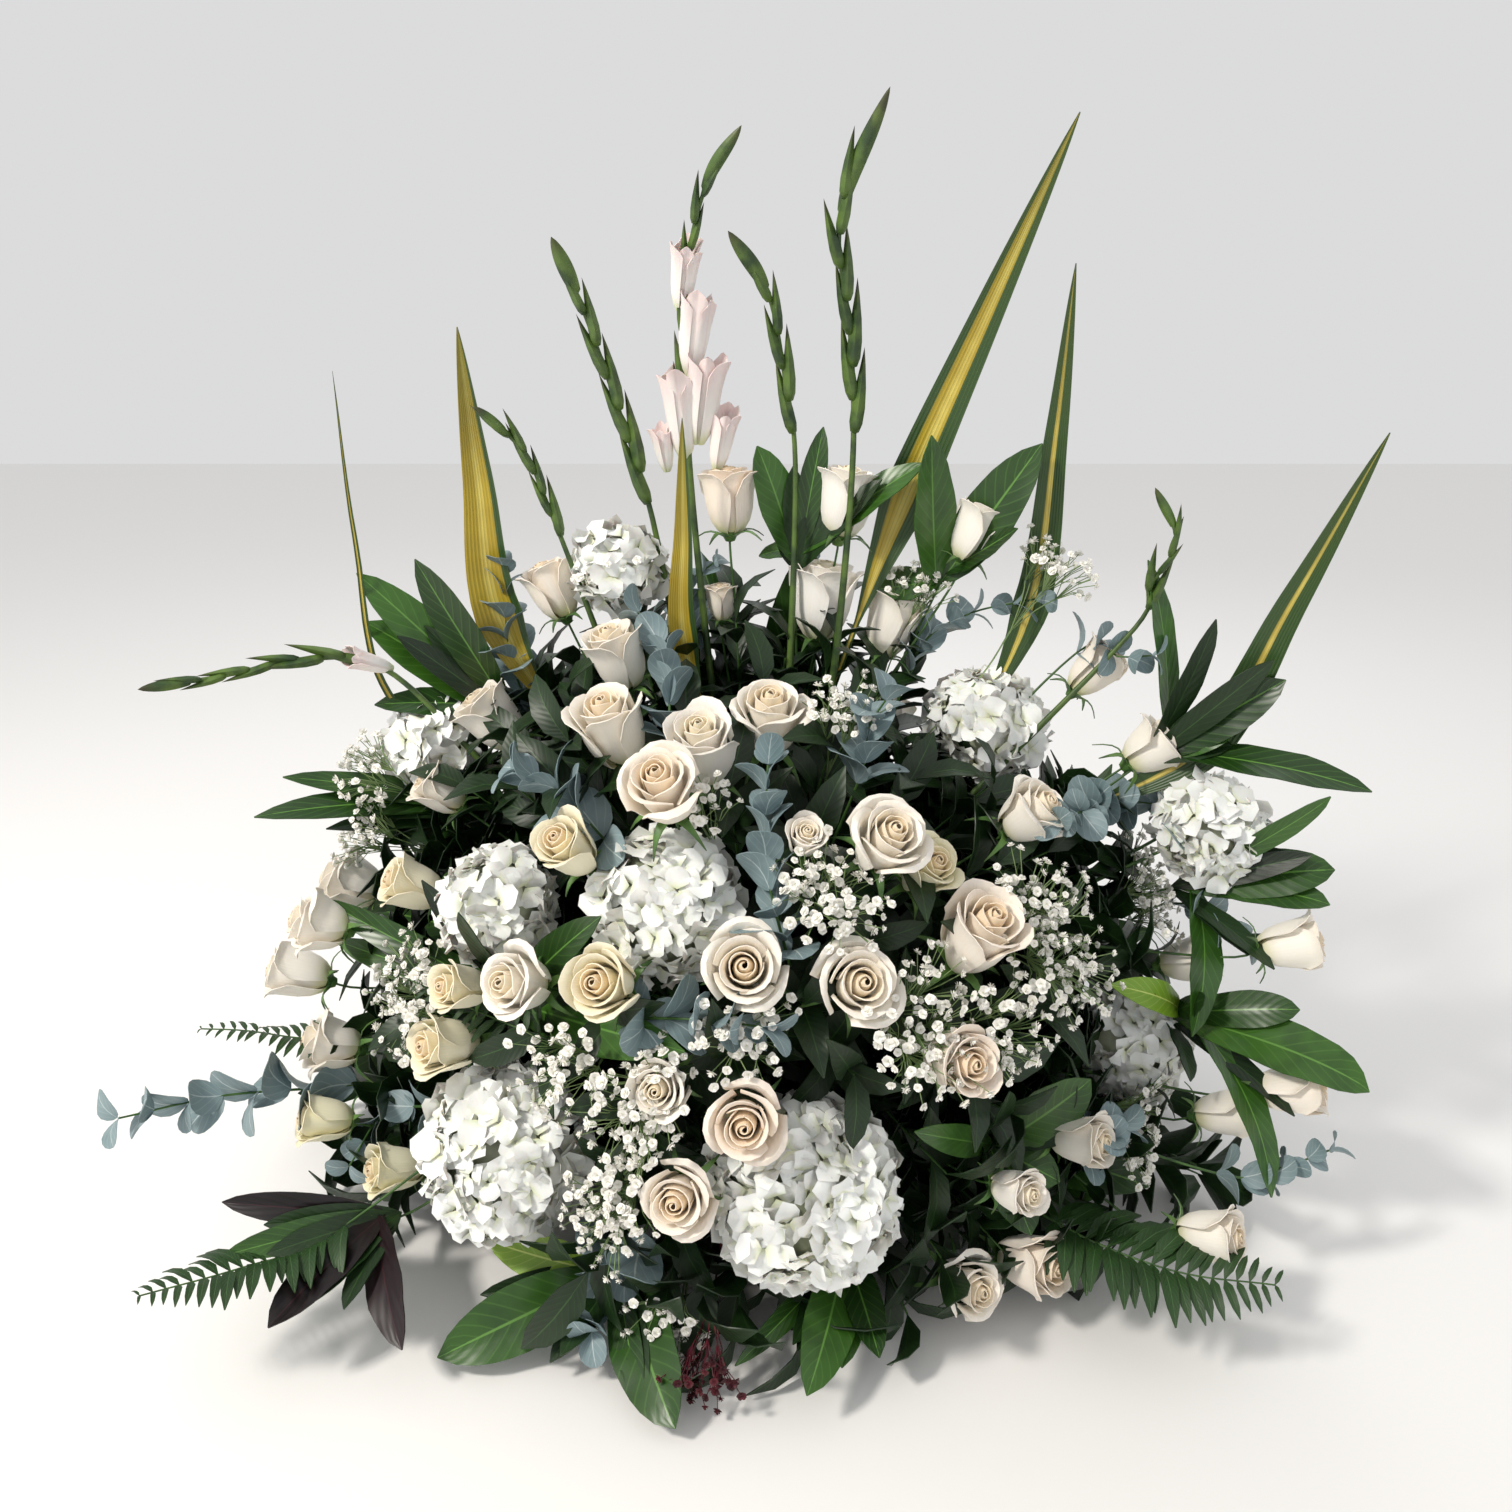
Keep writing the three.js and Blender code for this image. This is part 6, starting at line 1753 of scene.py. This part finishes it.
def forked(node, seen, size, random):
    """The lines of one spray: boughs from its foot, twigs from each bough, and a flower on each twig."""
    heart = place(seen[:2], 1.03)
    foot = HUB.lerp(heart, 0.80)
    spread = seen[2] * MM / 2
    way = (heart - HUB).normalized()
    side = side_of(way)
    other = across(way, side)
    stem, _ = route(node, [HUB.lerp(heart, 0.7), foot], 5)
    lines = [plain(stem, 1.0, way)]
    twigs = max(4, round(TWIGS_EACH * (seen[2] / 10) ** 2 / BOUGHS))
    for k in range(BOUGHS):
        turn = 2 * math.pi * (k + random.random()) / BOUGHS
        reach = spread * (0.3 + 0.7 * random.random())
        fork = foot + way * 0.045 + side * reach * 0.6 * math.cos(turn) + other * reach * 0.6 * math.sin(turn)
        lines.append(plain(eased([foot, foot.lerp(fork, 0.5) + way * 0.006, fork], 2), 0.7, way))
        for _ in range(twigs):
            aim = 2 * math.pi * random.random()
            far = spread * 0.7 * math.sqrt(random.random())
            rise = 0.028 * random.random() - 0.004
            tip = fork + (fork - foot).normalized() * 0.02
            tip += side * far * math.cos(aim) + other * far * math.sin(aim) + way * rise
            tip.z = max(tip.z, FLOOR + size)
            knee = fork.lerp(tip, 0.5) + way * 0.005
            out = (tip - fork).normalized()
            marks = {"thick": [0.5] * 3, "flower": [0.0, 0.0, size], "way": [out] * 3}
            lines.append(([fork, knee, tip], marks))
    return lines


# %% Let them flower
PUFF = 0.0085
BERRY = 0.008


def flowering(name, lines, seed, floret, twig):
    return grown(name, lines_mesh(name, lines), TWIG_TREE, {
        "Floret": PATTERNS["puff"], "Twig radius": 0.0009, "Seed": seed,
        "Floret finish": FINISH[floret], "Twig finish": FINISH[twig],
    })


flowers = 0
for number, group in enumerate(SPRAYS):
    node = f"babys_breath_{number + 1:02d}"
    random = np.random.default_rng(200 + number)
    lines = [line for spray in group for line in forked(node, spray, PUFF, random)]
    flowers += sum(1 for _, marks in lines if marks["flower"][-1] > 0)
    ride(flowering(node + "_cloud", lines, number, "floret", "twig"), "babys_breath_florets", node)
lines = forked("burgundy_sprig", SPRIG, BERRY, np.random.default_rng(300))
ride(flowering("burgundy_sprig_cloud", lines, 9, "berry", "berry"), "burgundy_florets", "burgundy_sprig")
print("florets of baby's breath:", flowers)

# %% [markdown]
# ## The greenery underneath
# An arranger first covers the foam with leafy stems, so that only leaves show between the flowers. Without
# them, light would fall through to the floor. One dark lump would stop the light too, but the gaps between
# the flowers would then show a smooth wall. So real stems are laid out: by the golden angle over the whole
# dome, the back too, as a skirt over the tray, at the two sides where the flowers are thin, and as a collar
# behind the spikes. Each stops short of the blooms, so that it fills the gaps and hides no flower.

# %% How far a stem may reach
# Room kept round a rose (True) or a hydrangea (False), in metres, and its radii that a stem stops short by
CLEARANCE = {True: 0.004, False: 0.022}
SHORT_BY = {True: 0.6, False: 1.15}


def free_reach(way, most):
    """How far out, as a level, a stem may go before it meets a bloom."""
    reach = most
    for bloom in blooms:
        to_bloom = bloom.at - HUB
        along = to_bloom.dot(way)
        aside = (to_bloom - way * along).length
        if along > 0 and aside < bloom.radius + CLEARANCE[bloom.is_rose]:
            stop = along - bloom.radius * SHORT_BY[bloom.is_rose]
            reach = min(reach, level(HUB + way * max(stop, 0.01)))
    return reach


def on_level(way, reach):
    return HUB + way * (reach / level(HUB + way))


def held_back(tip, most):
    """The way to a tip, and the tip moved towards the hub where a bloom is before it."""
    way = (tip - HUB).normalized()
    return way, HUB + (tip - HUB) * min(1, free_reach(way, most) / level(tip))


greenery = {"left": [], "right": [], "back": []}


def lay(way, tip, leaf, side=None):
    """Lays one stem from the hub to its tip, with leaves of a length in metres."""
    foot = HUB + way * 0.08
    line = even(eased([foot, foot.lerp(tip, 0.5) + UP * 0.012, tip], EASING), STEP)
    stem = leafy_line(line, 0.2, lambda share: leaf * (1 - 0.3 * share))
    greenery[side or ("left" if tip.x < 0 else "right")].append(stem)


# %% Over the whole dome, and as a skirt over the tray
# Reaches are levels of the dome, lengths of leaves are in metres, and the skirt's half width is in degrees
FILLER_STEMS = 150
FILLER_LEAF = 0.095
FILLER_REACH = 0.90
BACK_REACH = 0.84
BACK_BEGINS = 0.1
SKIRT_STEMS = 50
SKIRT_LEAF = 0.11
SKIRT_HALF = 118
SKIRT_REACH = 1.02
for k in range(FILLER_STEMS):
    height = 1 - 1.22 * (k + 0.5) / FILLER_STEMS
    flat = math.sqrt(1 - height * height)
    way = Vector((flat * math.cos(k * GOLDEN), flat * math.sin(k * GOLDEN), height))
    at_back = way.y > BACK_BEGINS
    tip = on_level(way, free_reach(way, BACK_REACH if at_back else FILLER_REACH))
    tip.z = max(tip.z, FLOOR + 0.02)
    lay(way, tip, FILLER_LEAF, "back" if at_back else "left" if way.x < 0 else "right")
for k in range(SKIRT_STEMS):
    compass = math.radians(-SKIRT_HALF + 2 * SKIRT_HALF * k / (SKIRT_STEMS - 1))
    random = np.random.default_rng(400 + k)
    reach = (SKIRT_REACH + 0.2 * math.sin(compass) ** 2) * (0.74 + 0.26 * random.random())
    out, front = DOME["side"] * math.sin(compass) * reach, -DOME["front"] * math.cos(compass) * reach
    way, tip = held_back(Vector((out, front, 0.025 + 0.07 * random.random())), 2.0)
    lay(way, tip, SKIRT_LEAF)
print("stems on the dome and in the skirt:", sum(len(stems) for stems in greenery.values()))

# %% At the two sides, and as a collar behind the spikes
SIDE_LEAF = 0.10
SIDE_REACH = 0.96
# Fields of the front view, as left, right, top, bottom and rows, with four stems in each row
SIDE_FIELDS = [
    (1130, 1330, 770, 1190, 6), (275, 430, 760, 1190, 6), (1010, 1160, 595, 790, 5), (420, 570, 650, 790, 4),
]
ROW = 4
COLLAR_STEMS = 36
COLLAR_LEAF = 0.085
COLLAR_ROW = 12
COLLAR_REACH = 0.96
COLLAR_LEFT = -0.2
COLLAR_WIDTH = 0.5
for left, right, top, bottom, rows in SIDE_FIELDS:
    for k in range(ROW * rows):
        down, along = divmod(k, ROW)
        seen = (left + (right - left) * along / (ROW - 1), top + (bottom - top) * down / (rows - 1))
        way = (place(seen, SIDE_REACH) - HUB).normalized()
        lay(way, on_level(way, free_reach(way, SIDE_REACH)), SIDE_LEAF)
for k in range(COLLAR_STEMS):
    deep, along = divmod(k, COLLAR_ROW)
    x = COLLAR_LEFT + COLLAR_WIDTH * along / (COLLAR_ROW - 1)
    rise = DOME["up"] * math.sqrt(COLLAR_REACH ** 2 - (x / DOME["side"]) ** 2)
    way, tip = held_back(HUB + Vector((x, 0.035 * deep, rise * (1 - 0.08 * (k % 2)))), 1.2)
    lay(way, tip, COLLAR_LEAF)

# %% Grow the greenery
for number, (side, stems) in enumerate(greenery.items()):
    leaves = stalks(
        "filler_" + side, stems, "lance_leaf", spacing=0.019, turn=GOLDEN_TURN, raised=42, look="filler",
        stalk_look="stem", radius=0.0018, seed=77 + number, loose=0.3,
    )
    ride(leaves, "glossy_leaf")
    print(side, "filler:", len(stems), "stems,", len(leaves.data.polygons), "faces")

# %% [markdown]
# ## Clearing up
# The patterns were only there to be repeated, so they go, and the triangles of what was built are counted.

# %% Remove the patterns and count the triangles
for thing in PATTERNS.values():
    bpy.data.objects.remove(thing)
shown = [thing for thing in bpy.data.objects if thing.type == "MESH" and not thing.hide_render]
triangles = {thing.name: sum(len(face.vertices) - 2 for face in thing.data.polygons) for thing in shown}
largest = max(triangles, key=triangles.get)
print("triangles:", sum(triangles.values()), "of which", triangles[largest], "in", largest)
